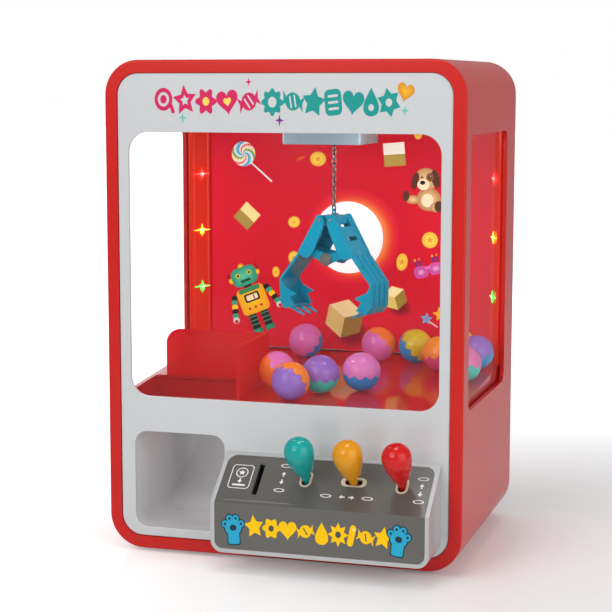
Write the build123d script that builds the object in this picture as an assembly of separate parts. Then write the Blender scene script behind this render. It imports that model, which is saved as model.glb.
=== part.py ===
from build123d import *
import math
import os

# Desktop claw crane machine, in millimetres.
# Everything below is laid out with the case's front face at y = 0 (the back is at +y),
# x = 0 in the middle and z = 0 under the case. save() moves each piece to the part's own
# frame: origin under the middle of the whole machine, on the surface that the feet rest on.
# The lever knobs reach furthest forward, KNOB_REACH in front of the case.

# ---- driving dimensions -------------------------------------------------------------------
CASE_W = 274.0
CASE_H = 370.0
CASE_D = 199.0
CASE_R = 26.0
WALL = 3.0
RIM_W = 9.5
FOOT_H = 2.5
CONSOLE_OUT = 38.5
KNOB_REACH = 46.78

HALF_W = CASE_W / 2
INNER_X = HALF_W - WALL
FRONT_Y = (KNOB_REACH - CASE_D) / 2
HOME = Location((0, FRONT_Y, FOOT_H))

FASCIA_Y = (0.8, 3.3)
WINDOW_X = 119.0
WINDOW_Z = (118.0, 317.0)
WINDOW_R = 15.0
SIDE_WINDOW_Y = (18.0, 163.0)
SIDE_WINDOW_Z = (116.0, 316.0)
PANE = 1.5

FLOOR_Z = 115.8
FLOOR_RISE = 0.0705
FLOOR_T = 2.5
HOLE_X = (-128.0, -37.5)
HOLE_Y = (9.0, 77.5)
FENCE_TOP = 158.5
FENCE_T = 1.6
FENCE_CORNER = 12.0

PRIZE_X = (-116.2, -44.4)
PRIZE_Z = (17.0, 91.0)

CONSOLE_X = (-41.5, 121.5)
CONSOLE_Z = (13.0, 80.2)
CONSOLE_FOLD_Z = 50.5
CONSOLE_WALL = 2.2

CONSOLE_SLOPE = math.atan2(CONSOLE_Z[1] - CONSOLE_FOLD_Z, CONSOLE_OUT)
LABEL_EDGE = 3.3
LABEL_TOP = 3.0
LABEL_CORNER = 8.0
COIN_X = -11.0
COIN_S = (9.3, 39.3)
COIN_GAP = 4.4

LEVER_X = (25.0, 61.0, 97.0)
LEVER_S = 21.5
LEVER_DEPTH = 14.2
LEVER_PIVOT = (
    LEVER_DEPTH * math.sin(CONSOLE_SLOPE) - LEVER_S * math.cos(CONSOLE_SLOPE),
    CONSOLE_Z[1] - LEVER_S * math.sin(CONSOLE_SLOPE) - LEVER_DEPTH * math.cos(CONSOLE_SLOPE),
)
SLOT_SIZES = ((5.8, 12.0), (13.2, 5.8), (5.8, 12.0))
PLATE_SIZES = ((9.4, 15.6), (19.4, 9.0), (9.4, 15.6))

REAR_Y = 192.2
REAR_T = 3.0
CARD_Y = 187.0
HATCH_X = 122.5
HATCH_Z = (130.0, 318.0)
HINGE_X = -HATCH_X - 2.8

RAIL_TOP = 326.0
MODULE = 1.0
PINION_TEETH = 12
SHAFT_Z = RAIL_TOP + 3.0 + MODULE * PINION_TEETH / 2 + 0.1
BRIDGE_Y = 107.0
BAR_Z = (332.0, 338.0)
FRONT_BAR_Y = (88.0, 92.0)
BACK_BAR_Y = (122.0, 126.0)

CARRIAGE_X = (-24.0, 39.0)
CARRIAGE_Y = (80.0, 135.0)
CARRIAGE_Z = (306.0, 331.0)
CARRIAGE_PINION_TEETH = 8
CARRIAGE_PINION_X = 27.0
DRUM_Z = 320.0
DRUM_R = 5.7
CHAIN_R = 6.9

CLAW_X = 10.5
CLAW_Y = BRIDGE_Y
CLAW_YAW = -16.0
JAW_PIVOT = (5.0, 247.0)
LINK_PIVOT = (18.0, 221.5)
LINK_JOINT = (0.0, 216.0)
JAW_HALF = 13.5
CHAIN_PITCH = 3.6
CHAIN_WIRE = 0.45
CHAIN_LOW = 256.1

LIGHT_Z = (277.0, 229.5, 181.5)

# Loose prize capsules: place on the floor (x, y), radius, and which way the upper half faces.
CAPSULES = (
    (1.5, 20.0, 14.6, (0.25, 0.55, 0.80)),
    (17.5, 46.0, 14.6, (0.10, -0.15, 0.98)),
    (-20.2, 55.0, 14.2, (0.80, -0.10, 0.60)),
    (46.0, 59.5, 14.8, (0.05, -0.10, 0.99)),
    (-28.0, 159.0, 14.2, (-0.35, -0.45, 0.80)),
    (34.0, 158.5, 14.1, (0.30, 0.50, 0.80)),
    (65.0, 158.5, 13.9, (0.75, -0.10, 0.60)),
    (90.5, 135.0, 14.1, (-0.10, 0.00, 0.99)),
    (99.0, 168.0, 13.9, (0.20, 0.20, 0.95)),
    (118.0, 146.0, 13.9, (-0.20, -0.20, 0.95)),
    (116.0, 103.0, 14.2, (0.10, 0.20, 0.97)),
)
CAPSULE_WALL = 1.2

os.makedirs("parts", exist_ok=True)


# ---- helpers ------------------------------------------------------------------------------
def save(name, *pieces):
    """Write one node: its solids, moved from the building position to the part's frame."""
    solids = []
    for piece in pieces:
        solids.extend(solid.moved(HOME) for solid in piece.solids())
    shape = solids[0] if len(solids) == 1 else Compound(children=solids)
    export_step(shape, os.path.join("parts", name + ".step"))


def block(x, y, z):
    """A box between the pairs of values x, y and z."""
    size = (x[1] - x[0], y[1] - y[0], z[1] - z[0])
    centre = ((x[0] + x[1]) / 2, (y[0] + y[1]) / 2, (z[0] + z[1]) / 2)
    return Pos(*centre) * Box(*size)


def slab_y(x, z, radius, y):
    """A box whose four edges along Y are rounded."""
    return fillet(block(x, y, z).edges().filter_by(Axis.Y), radius)


def slab_x(y, z, radius, x):
    """A box whose four edges along X are rounded."""
    return fillet(block(x, y, z).edges().filter_by(Axis.X), radius)


def slab_z(x, y, radius, z):
    """A box whose four edges along Z are rounded."""
    return fillet(block(x, y, z).edges().filter_by(Axis.Z), radius)


def prism_x(points, x):
    """A YZ outline carried along X."""
    face = make_face(Polyline(*points, close=True))
    return extrude(Plane.YZ.offset(x[0]) * face, amount=x[1] - x[0], dir=(1, 0, 0))


def prism_y(points, y):
    """An XZ outline carried along Y."""
    plane = Plane(origin=(0, y[0], 0), x_dir=(1, 0, 0), z_dir=(0, -1, 0))
    face = make_face(Polyline(*points, close=True))
    return extrude(plane * face, amount=y[1] - y[0], dir=(0, 1, 0))


def prism_z(points, z):
    """An XY outline carried along Z."""
    face = make_face(Polyline(*points, close=True))
    return extrude(Pos(0, 0, z[0]) * face, amount=z[1] - z[0], dir=(0, 0, 1))


def rod(start, direction, radius, length):
    """A round bar from a start point along a direction."""
    plane = Plane(origin=start, z_dir=direction)
    return plane * Cylinder(radius, length, align=(Align.CENTER, Align.CENTER, Align.MIN))


def mirror_x(piece):
    """The piece's mirror image on the other side of the machine."""
    return piece.mirror(Plane.YZ)


def turned(point, angle):
    """A 2-D point turned about the origin by an angle in degrees."""
    c = math.cos(math.radians(angle))
    s = math.sin(math.radians(angle))
    return (point[0] * c - point[1] * s, point[0] * s + point[1] * c)


def gear_outline(centre, teeth, module, first_tooth):
    """Outline of a spur gear with plain tapered teeth, one tooth pointing at first_tooth degrees."""
    pitch_r = teeth * module / 2
    pitch_angle = 360.0 / teeth
    profile = ((-1.25, 0.62), (0.0, 0.40), (0.8, 0.20))
    points = []
    for tooth in range(teeth):
        middle = first_tooth + tooth * pitch_angle
        left = [(pitch_r + rise * module, middle - part * pitch_angle / 2) for rise, part in profile]
        right = [(pitch_r + rise * module, middle + part * pitch_angle / 2) for rise, part in profile]
        for radius, angle in left + right[::-1]:
            x, y = turned((radius, 0), angle)
            points.append((centre[0] + x, centre[1] + y))
    return points


def rack_outline(start, end, root, base, gap_at, out):
    """Outline of a rack along the first axis, its teeth pointing along out (+1 or -1)."""
    pitch = math.pi * MODULE
    first = math.ceil((start - gap_at) / pitch - 0.5) + 1
    last = math.floor((end - gap_at) / pitch + 0.5) - 1
    points = [(start, base), (start, root)]
    for tooth in range(first, last):
        middle = gap_at + (tooth + 0.5) * pitch
        for offset, height in ((-0.98, 0.0), (-0.35, 2.05), (0.35, 2.05), (0.98, 0.0)):
            points.append((middle + offset, root + out * height))
    points += [(end, root), (end, base)]
    return points


def floor_height(y):
    """Height of the sloping playfield floor's top face."""
    return FLOOR_Z + FLOOR_RISE * y


# ---- outer case ---------------------------------------------------------------------------
def main_case():
    """Red tube with a front rim, side windows, cover bosses and board posts."""
    body = slab_y((-HALF_W, HALF_W), (0, CASE_H), CASE_R, (0, CASE_D))
    body = fillet(body.faces().sort_by(Axis.Y)[0].edges(), 1.5)
    body = fillet(body.faces().sort_by(Axis.Y)[-1].edges(), 1.0)
    seat = RIM_W + WALL
    body -= slab_y((-INNER_X, INNER_X), (WALL, CASE_H - WALL), CASE_R - WALL, (6, CASE_D + 1))
    body -= slab_y((RIM_W - HALF_W, HALF_W - RIM_W), (RIM_W, CASE_H - RIM_W), CASE_R - RIM_W, (-1, 3.4))
    body -= slab_y((seat - HALF_W, HALF_W - seat), (seat, CASE_H - seat), CASE_R - seat, (-1, 7))
    body -= slab_x(SIDE_WINDOW_Y, SIDE_WINDOW_Z, 9, (-HALF_W - 1, HALF_W + 1))
    for side in (-1, 1):
        for z in (28.0, 100.0, 342.0):
            ends = sorted((side * (INNER_X + 0.5), side * (INNER_X - 9)))
            boss = block(ends, (REAR_Y - 8, REAR_Y), (z - 5, z + 5))
            boss -= rod((side * (INNER_X - 4.5), REAR_Y - 7, z), (0, 1, 0), 1.3, 8)
            body += boss
        ledge_x = sorted((side * (INNER_X + 0.5), side * (INNER_X - 4)))
        body += block(ledge_x, (12, 182), (107.0, 110.5))
    for x in (24.0, 106.0):
        for y in (94.0, 146.0):
            body += rod((x, y, WALL - 0.5), (0, 0, 1), 3.0, 8.5)
    return body


def front_fascia():
    """Grey front plate with the window, the prize opening and the console's opening."""
    gap = 0.4
    edge = RIM_W + gap
    plate = slab_y((edge - HALF_W, HALF_W - edge), (edge, CASE_H - edge), CASE_R - edge, FASCIA_Y)
    frame_x = WINDOW_X + 4.2
    frame_z = (WINDOW_Z[0] - 4.2, WINDOW_Z[1] + 4.2)
    frame = slab_y((-frame_x, frame_x), frame_z, WINDOW_R + 4, (FASCIA_Y[1] - 0.1, 6.0))
    inner_x = WINDOW_X + 2.1
    inner_z = (WINDOW_Z[0] - 2.1, WINDOW_Z[1] + 2.1)
    frame -= slab_y((-inner_x, inner_x), inner_z, WINDOW_R + 2, (FASCIA_Y[1], 7))
    plate += frame
    plate -= slab_y((-WINDOW_X, WINDOW_X), WINDOW_Z, WINDOW_R, (0, 7))
    plate -= slab_y(PRIZE_X, PRIZE_Z, 10, (0, 7))
    plate -= block((CONSOLE_X[0] + 5, CONSOLE_X[1] - 5), (0, 7), (19, 73))
    front = plate.faces().sort_by(Axis.Y)[0]
    return fillet(front.edges(), 0.5)


def front_window():
    """Clear pane held in the frame behind the fascia."""
    return slab_y(
        (-WINDOW_X - 2, WINDOW_X + 2), (WINDOW_Z[0] - 2, WINDOW_Z[1] + 2), WINDOW_R + 2,
        (FASCIA_Y[1] + 0.05, FASCIA_Y[1] + 0.05 + PANE),
    )


def side_window(side):
    """Clear pane behind one side opening."""
    ends = sorted((side * (INNER_X - 0.05), side * (INNER_X - 0.05 - PANE)))
    return slab_x((14, 167), (SIDE_WINDOW_Z[0] - 4, SIDE_WINDOW_Z[1] + 4), 8, ends)


def rear_cover():
    """Back plate around the loading hatch, with grille, battery and switch openings."""
    edge = WALL + 0.3
    back = (REAR_Y, REAR_Y + REAR_T)
    plate = slab_y((edge - HALF_W, HALF_W - edge), (edge, CASE_H - edge), CASE_R - edge, back)
    around = 0.7
    plate -= slab_y(
        (-HATCH_X - 0.3, HATCH_X + around), (HATCH_Z[0] - around, HATCH_Z[1] + around), 5,
        (REAR_Y - 1, REAR_Y + REAR_T + 1),
    )
    for z in (HATCH_Z[0] + 22, HATCH_Z[1] - 22):
        plate -= block((HINGE_X - 3.0, -HATCH_X), (REAR_Y - 1, CASE_D), (z - 9.3, z + 9.3))
        plate += rod((HINGE_X, REAR_Y + REAR_T, z - 15), (0, 0, 1), 2.4, 5.7) \
            - rod((HINGE_X, REAR_Y + REAR_T, z - 16), (0, 0, 1), 1.0, 8)
        plate += rod((HINGE_X, REAR_Y + REAR_T, z + 9.3), (0, 0, 1), 2.4, 5.7) \
            - rod((HINGE_X, REAR_Y + REAR_T, z + 8), (0, 0, 1), 1.0, 8)
        plate -= rod((HINGE_X, REAR_Y + REAR_T, z - 16), (0, 0, 1), 1.05, 32)
    plate -= block((-40.6, 40.6), (REAR_Y - 1, CASE_D), (23.4, 86.6))
    plate -= block((66, 80), (REAR_Y - 1, CASE_D), (56.5, 63.5))
    for row in range(7):
        z = 44.0 + row * 6
        half = math.sqrt(22.0 ** 2 - (z - 62.0) ** 2)
        plate -= slab_y((-90 - half, -90 + half), (z - 1.2, z + 1.2), 1.1, (REAR_Y - 1, CASE_D))
    for side in (-1, 1):
        for z in (28.0, 100.0, 342.0):
            plate -= rod((side * (INNER_X - 4.5), REAR_Y - 1, z), (0, 1, 0), 1.7, 9)
            plate -= rod((side * (INNER_X - 4.5), REAR_Y + 1.6, z), (0, 1, 0), 3.2, 9)
    return plate


def case_screws():
    """Six pan-head screws that hold the rear cover."""
    screws = []
    for side in (-1, 1):
        for z in (28.0, 100.0, 342.0):
            x = side * (INNER_X - 4.5)
            screw = rod((x, REAR_Y - 6, z), (0, 1, 0), 1.25, 8)
            screw += rod((x, REAR_Y + 1.65, z), (0, 1, 0), 2.9, 1.8)
            screw -= block((x - 2, x + 2), (REAR_Y + 2.7, REAR_Y + 5), (z - 0.4, z + 0.4))
            screw -= block((x - 0.4, x + 0.4), (REAR_Y + 2.7, REAR_Y + 5), (z - 2, z + 2))
            screws.append(screw)
    return screws


def rubber_feet():
    """Four round feet under the case."""
    feet = []
    for x in (-104.0, 104.0):
        for y in (24.0, 175.0):
            foot = rod((x, y, -FOOT_H), (0, 0, 1), 9.0, FOOT_H)
            feet.append(chamfer(foot.edges().sort_by(Axis.Z)[0], 0.8))
    return feet


# ---- loading hatch and backdrop -----------------------------------------------------------
def rear_hatch():
    """Hinged back door, with pegs that carry the backdrop and a finger pull."""
    door = slab_y((-HATCH_X, HATCH_X), HATCH_Z, 4.5, (REAR_Y, REAR_Y + REAR_T))
    for x in (-100.0, 0.0, 100.0):
        for z in (HATCH_Z[0] + 20, HATCH_Z[1] - 20):
            door += rod((x, CARD_Y + 1.2, z), (0, 1, 0), 3.0, REAR_Y - CARD_Y)
    door -= slab_y((96, 116), (212, 236), 4, (REAR_Y + 1.4, CASE_D))
    for z in (HATCH_Z[0] + 22, HATCH_Z[1] - 22):
        barrel = rod((HINGE_X, REAR_Y + REAR_T, z - 9), (0, 0, 1), 2.4, 18)
        barrel += block((HINGE_X, -HATCH_X + 1), (REAR_Y + 0.6, REAR_Y + REAR_T), (z - 9, z + 9))
        barrel -= rod((HINGE_X, REAR_Y + REAR_T, z - 10), (0, 0, 1), 1.05, 20)
        door += barrel
        door -= rod((HINGE_X, REAR_Y + REAR_T, z - 10), (0, 0, 1), 1.05, 20)
    return door


def hatch_pins():
    """Two steel hinge pins, fixed in the rear cover's knuckles."""
    return [
        rod((HINGE_X, REAR_Y + REAR_T, z - 15), (0, 0, 1), 0.98, 30)
        for z in (HATCH_Z[0] + 22, HATCH_Z[1] - 22)
    ]


def backdrop_card():
    """Printed card on the hatch's pegs."""
    return slab_y((-120.8, 120.8), (HATCH_Z[0] + 0.6, HATCH_Z[1] - 0.6), 2, (CARD_Y, CARD_Y + 1.2))


# ---- play area ----------------------------------------------------------------------------
def sloped_slab(x, y, low, high):
    """A slab between two heights measured from the sloping floor's top face."""
    return prism_x(
        [
            (y[0], floor_height(y[0]) + low), (y[1], floor_height(y[1]) + low),
            (y[1], floor_height(y[1]) + high), (y[0], floor_height(y[0]) + high),
        ],
        x,
    )


def playfield_floor():
    """Sloping floor with side skirts and the chute hole with its lips."""
    plate = sloped_slab((-131.8, 131.8), (6.2, 186.3), -FLOOR_T, 0)
    for side in (-1, 1):
        ends = sorted((side * 131.8, side * 130.2))
        plate += prism_x(
            [(12, 110.6), (182, 110.6), (182, floor_height(182) - 1), (12, floor_height(12) - 1)], ends,
        )
    lip = 1.5
    outer = slab_z((HOLE_X[0] - lip, HOLE_X[1] + lip), (HOLE_Y[0] - lip, HOLE_Y[1] + lip), 5.5, (104, 118))
    outer &= sloped_slab((-131, -30), (0, 100), -30, -1)
    plate += outer
    plate -= slab_z(HOLE_X, HOLE_Y, 4, (90, 130))
    return plate


def chute_fence():
    """Red acrylic corner fence beside and behind the chute hole."""
    corner_x = HOLE_X[1] + 2.7
    corner_y = HOLE_Y[1] + 3.1
    side = sloped_slab((corner_x - FENCE_T, corner_x), (6.5, corner_y), 0.1, 60)
    side &= block((-60, 0), (0, 100), (100, FENCE_TOP))
    back = sloped_slab((-120.5, corner_x), (corner_y - FENCE_T, corner_y), 0.1, 60)
    back &= block((-140, 0), (0, 100), (100, FENCE_TOP))
    top_left = back.edges().filter_by(Axis.Y).sort_by(Axis.X)[0]
    back = fillet(top_left, FENCE_CORNER)
    return side + back


def chute_funnel():
    """Red funnel from the hole's lips down to the prize bin's mouth."""
    top = (HOLE_X[0], HOLE_X[1], HOLE_Y[0], HOLE_Y[1], 103.9)
    low = (-112.0, -48.0, 12.0, 72.0, 94.0)

    def hopper(grow):
        faces = []
        for x0, x1, y0, y1, z in (low, top):
            width = x1 - x0 + 2 * grow
            depth = y1 - y0 + 2 * grow
            faces.append(Pos((x0 + x1) / 2, (y0 + y1) / 2, z) * Rectangle(width, depth))
        return loft(faces)

    shell = hopper(1.5)
    rim = block((top[0] - 1.5, top[1] + 1.5), (top[2] - 1.5, top[3] + 1.5), (102.4, 103.9))
    shell += rim
    shell -= hopper(0)
    shell -= block((low[0], low[1]), (low[2], low[3]), (92, 96))
    return shell


def prize_bin():
    """Grey bin behind the prize opening: round-edged, with a curved ramp at its back."""
    wall = 1.6
    depth = 105.0
    corner_r = 12.0
    ramp_r = 44.0
    inner = slab_y(PRIZE_X, PRIZE_Z, 10, (3.0, depth - wall))
    inner &= slab_z(PRIZE_X, (-20, depth - wall), corner_r, (0, 130))
    centre = (depth - wall - ramp_r, PRIZE_Z[0] + ramp_r)
    outline = Polyline(
        (depth - wall, centre[1]), (depth - wall, 120), (0, 120), (0, PRIZE_Z[0]), (centre[0], PRIZE_Z[0]),
    )
    bend = RadiusArc((centre[0], PRIZE_Z[0]), (depth - wall, centre[1]), -ramp_r)
    face = make_face(Curve() + [outline, bend])
    cavity = extrude(Plane.YZ.offset(-130) * face, amount=100, dir=(1, 0, 0))
    inner &= cavity
    body = slab_y(
        (PRIZE_X[0] - wall, PRIZE_X[1] + wall), (PRIZE_Z[0] - wall, PRIZE_Z[1] + wall), 11.6,
        (FASCIA_Y[1] + 0.05, depth),
    )
    body &= slab_z((PRIZE_X[0] - wall, PRIZE_X[1] + wall), (-20, depth), corner_r + wall, (0, 130))
    body -= inner
    body -= block((-112, -48), (12, 72), (85, 95))
    body -= slab_y(PRIZE_X, PRIZE_Z, 10, (3.0, 14.0))
    return body


# ---- prize capsules -----------------------------------------------------------------------
def capsules():
    """Hollow two-piece capsules lying on the floor: a list of upper and of lower halves."""
    upper = []
    lower = []
    slope = math.sqrt(1 + FLOOR_RISE ** 2)
    for x, y, radius, facing in CAPSULES:
        centre = (x, y, floor_height(y) + radius * slope + 0.05)
        plane = Plane(origin=centre, z_dir=facing)
        shell = Sphere(radius) - Sphere(radius - CAPSULE_WALL)
        for half, kept in ((upper, 1), (lower, -1)):
            keep = Pos(0, 0, kept * radius) * Box(3 * radius, 3 * radius, 2 * radius - 0.02)
            half.append(plane * (shell & keep))
    return upper, lower


# ---- lights -------------------------------------------------------------------------------
FACET_A = (128.6, 169.0)
FACET_B = (122.5, 182.0)


def facet_frame(z):
    """Plane on the right column's slanted face, its normal pointing into the play area."""
    across = Vector(FACET_B[0] - FACET_A[0], FACET_B[1] - FACET_A[1], 0).normalized()
    middle = ((FACET_A[0] + FACET_B[0]) / 2, (FACET_A[1] + FACET_B[1]) / 2, z)
    return Plane(origin=middle, x_dir=(0, 0, 1), z_dir=(-across.Y, across.X, 0))


def light_column():
    """Right-hand corner column: a stepped moulding with a slanted face for the lamps."""
    outline = [
        (132.1, 163.4), (131.0, 163.4), (131.0, 165.6), (130.0, 165.6), (130.0, 167.4), FACET_A,
        FACET_B, (121.3, 182.6), (121.3, 186.6), (133.8, 186.6), (133.8, 168.0), (132.1, 168.0),
    ]
    column = prism_z(outline, (112, 322))
    column -= sloped_slab((100, 140), (150, 186.45), -30, 0.2)
    column -= block((100, 140), (186.4, 190), (100, 130))
    column -= block((129.4, 132.6), (173.0, 190), (170, 290))
    return column


def star_lenses():
    """Six star-shaped lamp lenses, three on each column."""
    points = []
    for corner in range(10):
        radius = 5.2 if corner % 2 == 0 else 2.5
        points.append(turned((radius, 0), corner * 36))
    face = make_face(Polyline(*points, close=True))
    lenses = []
    for z in LIGHT_Z:
        lens = extrude(facet_frame(z) * face, amount=1.6, dir=tuple(facet_frame(z).z_dir))
        lenses.append(lens)
        lenses.append(mirror_x(lens))
    return lenses


def led_boards():
    """Two strip boards behind the lenses, with three lamp chips each."""
    board = block((131.0, 132.2), (174.0, 185.5), (172, 288))
    for z in LIGHT_Z:
        board += block((129.6, 131.1), (176.5, 180.0), (z - 1.75, z + 1.75))
    return [board, mirror_x(board)]


# ---- console ------------------------------------------------------------------------------
def console_solid(inset, edge, back):
    """The console's outer form, its skin moved in by inset and its outline by edge."""
    drop = inset / math.cos(CONSOLE_SLOPE)
    front = -CONSOLE_OUT + inset
    fold = CONSOLE_FOLD_Z - drop + inset * math.tan(CONSOLE_SLOPE)
    outline = [
        (back, CONSOLE_Z[1] - drop), (0, CONSOLE_Z[1] - drop), (front, fold),
        (front, CONSOLE_Z[0] - 5), (back, CONSOLE_Z[0] - 5),
    ]
    profile = prism_x(outline, (CONSOLE_X[0] - 5, CONSOLE_X[1] + 5))
    shape = slab_y(
        (CONSOLE_X[0] + edge, CONSOLE_X[1] - edge), (CONSOLE_Z[0] + edge, CONSOLE_Z[1] + 12), 9 - edge,
        (-CONSOLE_OUT - 1, back),
    )
    return profile & shape


def slope_plane(x, s):
    """Plane on the console's sloping face at distance s below its top edge, normal outwards."""
    down = math.sin(CONSOLE_SLOPE)
    out = math.cos(CONSOLE_SLOPE)
    return Plane(origin=(x, -s * out, CONSOLE_Z[1] - s * down), x_dir=(1, 0, 0), z_dir=(0, -down, out))


def lever_slots(sizes, low, high):
    """Rounded cutters through the sloping face, one at each lever."""
    cutters = []
    for x, size in zip(LEVER_X, sizes):
        face = Pos(0, 0, low) * RectangleRounded(size[0], size[1], min(size) / 2 - 0.01)
        cutters.append(slope_plane(x, LEVER_S) * extrude(face, amount=high - low, dir=(0, 0, 1)))
    return cutters


def coin_slot_cutter(grow, low, high):
    """Cutter for the coin slot, grown on every side, between two heights over the sloping face."""
    length = COIN_S[1] - COIN_S[0]
    body = Pos(0, 0, (low + high) / 2) * Box(COIN_GAP + 2 * grow, length + 2 * grow, high - low)
    return slope_plane(COIN_X, (COIN_S[0] + COIN_S[1]) / 2) * body


def label_outline(low, high, gap):
    """Everything inside the label's edges and rounded upper corners, grown by gap."""
    top_y = -(LABEL_TOP - gap) * math.cos(CONSOLE_SLOPE)
    shape = console_solid(low, LABEL_EDGE - gap, top_y) - console_solid(high, 0.5, 12)
    for side, edge in ((1, CONSOLE_X[0] + LABEL_EDGE), (-1, CONSOLE_X[1] - LABEL_EDGE)):
        reach = LABEL_CORNER + 3
        corner = Pos(-side * reach / 2, reach / 2, 0) * Box(reach, reach, 5)
        corner -= Cylinder(LABEL_CORNER + gap, 5)
        shape -= slope_plane(edge + side * LABEL_CORNER, LABEL_TOP + LABEL_CORNER) * corner
    return shape


def console_housing():
    """Light grey console: an open-backed shell with a recess for the label and a light rim."""
    body = console_solid(0, 0, FASCIA_Y[0] - 0.05)
    body -= console_solid(CONSOLE_WALL, CONSOLE_WALL, 10)
    body -= label_outline(-1, 0.9, 0.3)
    for cutter in lever_slots(PLATE_SIZES, -6, 3):
        body -= cutter
    return body - coin_slot_cutter(0, -6, 3)


def console_label():
    """Dark grey label plate over the sloping and front faces."""
    plate = label_outline(0.25, 0.85, 0)
    for cutter in lever_slots(PLATE_SIZES, -6, 3):
        plate -= cutter
    return plate - coin_slot_cutter(0, -6, 3)


def slot_plates():
    """Three beige guide plates under the label, one around each lever."""
    plates = []
    for outer, slot in zip(lever_slots([(w - 0.3, h - 0.3) for w, h in PLATE_SIZES], -2.1, -0.1),
                           lever_slots(SLOT_SIZES, -5, 3)):
        plates.append(outer - slot)
    return plates


def flap_plane():
    """Plane on the sloping face above the coin flap's pin."""
    return slope_plane(COIN_X, COIN_S[1] - 3)


def coin_chute():
    """Narrow channel behind the coin slot, open at both ends."""
    chute = coin_slot_cutter(1.2, -15.0, -2.4)
    for side in (-1, 1):
        ear = block(sorted((side * 2.9, side * 4.8)), (-2.2, 2.2), (-15.0, -12.0))
        ear += block(sorted((side * 3.6, side * 4.8)), (-2.2, 2.2), (-21.4, -12.0))
        chute += flap_plane() * (ear - rod((-6, 0, -19), (1, 0, 0), 1.05, 12))
    return chute - coin_slot_cutter(0.1, -20.0, 2.0)


def coin_tray():
    """Open tray that catches the coins at the bottom of the console."""
    tray = slab_z((-33, 8), (-33.5, -1), 3, (15.4, 27))
    return tray - slab_z((-31.4, 6.4), (-31.9, -2.6), 2, (17, 30))


def coin_flap():
    """Small sprung flap across the chute's outlet, with its cross pin."""
    flap = rod((-3.4, 0, -19), (1, 0, 0), 1.4, 6.8) + rod((-4.9, 0, -19), (1, 0, 0), 1.0, 9.8)
    flap += block((-2.8, 2.8), (0, 15), (-19.5, -18.5))
    return flap_plane() * flap


# ---- levers -------------------------------------------------------------------------------
def lever_plane(index):
    """Plane at a lever's pivot: z along the lever, x along its hinge pin."""
    across = math.sin(CONSOLE_SLOPE)
    along = math.cos(CONSOLE_SLOPE)
    hinge = (0, along, across) if index == 1 else (1, 0, 0)
    return Plane(origin=(LEVER_X[index], *LEVER_PIVOT), x_dir=hinge, z_dir=(0, -across, along))


def lever(index):
    """Pear-shaped knob moulded on its stem, with the pivot hub and tail below."""
    side = Spline(
        (6.6, 24.5), (7.5, 27.5), (8.9, 33.0), (10.3, 40.0), (10.8, 45.4), (9.3, 50.8), (5.4, 54.3),
        (0, 55.4), tangents=((0.3, 1), (-1, 0)),
    )
    lower = Polyline(
        (0, 55.4), (0, -12.0), (2.4, -12.0), (2.4, -5.2), (4.6, -3.4), (4.6, 3.4), (2.6, 5.4),
        (2.6, 15.4), (3.6, 15.5), (4.1, 24.3), (6.6, 24.5),
    )
    face = make_face(Curve() + [lower, side])
    knob = revolve(Plane.XZ * face, Axis.Z)
    knob -= rod((-8, 0, 0), (1, 0, 0), 1.55, 16)
    return lever_plane(index) * knob


def lever_frame():
    """Base rail under the levers, with two cheeks for each pivot pin."""
    rail_plane = lever_plane(0)
    ends = (-LEVER_X[0] + 8.2, 112 - LEVER_X[0])
    frame = rail_plane * block(ends, (-10.5, 10.5), (-18, -16))
    for x in ((8.2, 12.2), (107, 111)):
        frame += block(x, (-5.5, 0), (CONSOLE_Z[0] + CONSOLE_WALL + 0.1, 45))
    frame -= rail_plane * block((ends[0] - 1, ends[1] + 1), (-20, 20), (-16, 10))
    for index in range(3):
        for side in (-1, 1):
            cheek = block(sorted((side * 8, side * 10)), (-4, 4), (-17, 4))
            cheek -= rod((side * 9 - 3, 0, 0), (1, 0, 0), 1.5, 6)
            frame += lever_plane(index) * cheek
    return frame


def lever_pins():
    """Steel pivot pins, fixed in the frame's cheeks."""
    return [lever_plane(index) * rod((-10.2, 0, 0), (1, 0, 0), 1.5, 20.4) for index in range(3)]


def lever_springs():
    """Centring torsion springs: a close coil on each side of every hub."""
    springs = []
    for index in range(3):
        for side in (-1, 1):
            ring = Pos(side * 6.4, 0, 0) * Rot(0, 90, 0) * (Cylinder(2.7, 2.2) - Cylinder(1.75, 4))
            springs.append(lever_plane(index) * ring)
    return springs


def switch_bodies():
    """Micro switches beside the lever tails, and the power switch's case at the back."""
    switches = []
    for index in range(3):
        for side in (-1, 1):
            case = block((-4, 4), sorted((side * 5.4, side * 9.8)), (-15.95, -9.2))
            switches.append(lever_plane(index) * case)
    power_case = block((62, 84), (180, REAR_Y - 0.1), (54, 66))
    switches.append(power_case - block((65, 81), (187, 193), (56.5, 63.5)))
    return switches


# ---- electrics ----------------------------------------------------------------------------
def control_board():
    """Circuit board on the case's posts, with its chip, capacitors and plugs."""
    board = block((20, 110), (90, 150), (11.05, 12.65))
    board += block((50, 66), (112, 128), (12.6, 15))
    for x in (30.0, 40.0, 78.0, 88.0):
        board += rod((x, 100, 12.6), (0, 0, 1), 3.0, 9)
    for x in (28.0, 46.0, 64.0, 82.0, 100.0):
        board += block((x - 5, x + 5), (141, 147), (12.6, 19))
    return board


def wiring_loom():
    """Wire runs fixed along the case, from the board to the battery box, levers and speaker."""
    runs = (
        ((64, 150.6, 16), (64, 160, 16), (30, 166, 16), (30, 169.9, 40)),
        ((82, 150.6, 16), (82, 158, 16), (74, 168, 30), (73, 178.0, 58)),
        ((46, 150.6, 16), (46, 156, 16), (-30, 160, 10), (-80, 160, 20), (-90, 176.0, 60)),
        ((28, 150.6, 16), (28, 156, 20), (8, 150, 24), (8, 60, 24), (20, 10, 28), (20, -2, 30)),
    )
    tubes = []
    for points in runs:
        path = Polyline(*points)
        tubes.append(sweep(Plane(origin=path @ 0, z_dir=path % 0) * Circle(1.3), path=path,
                           transition=Transition.ROUND))
    return tubes


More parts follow.
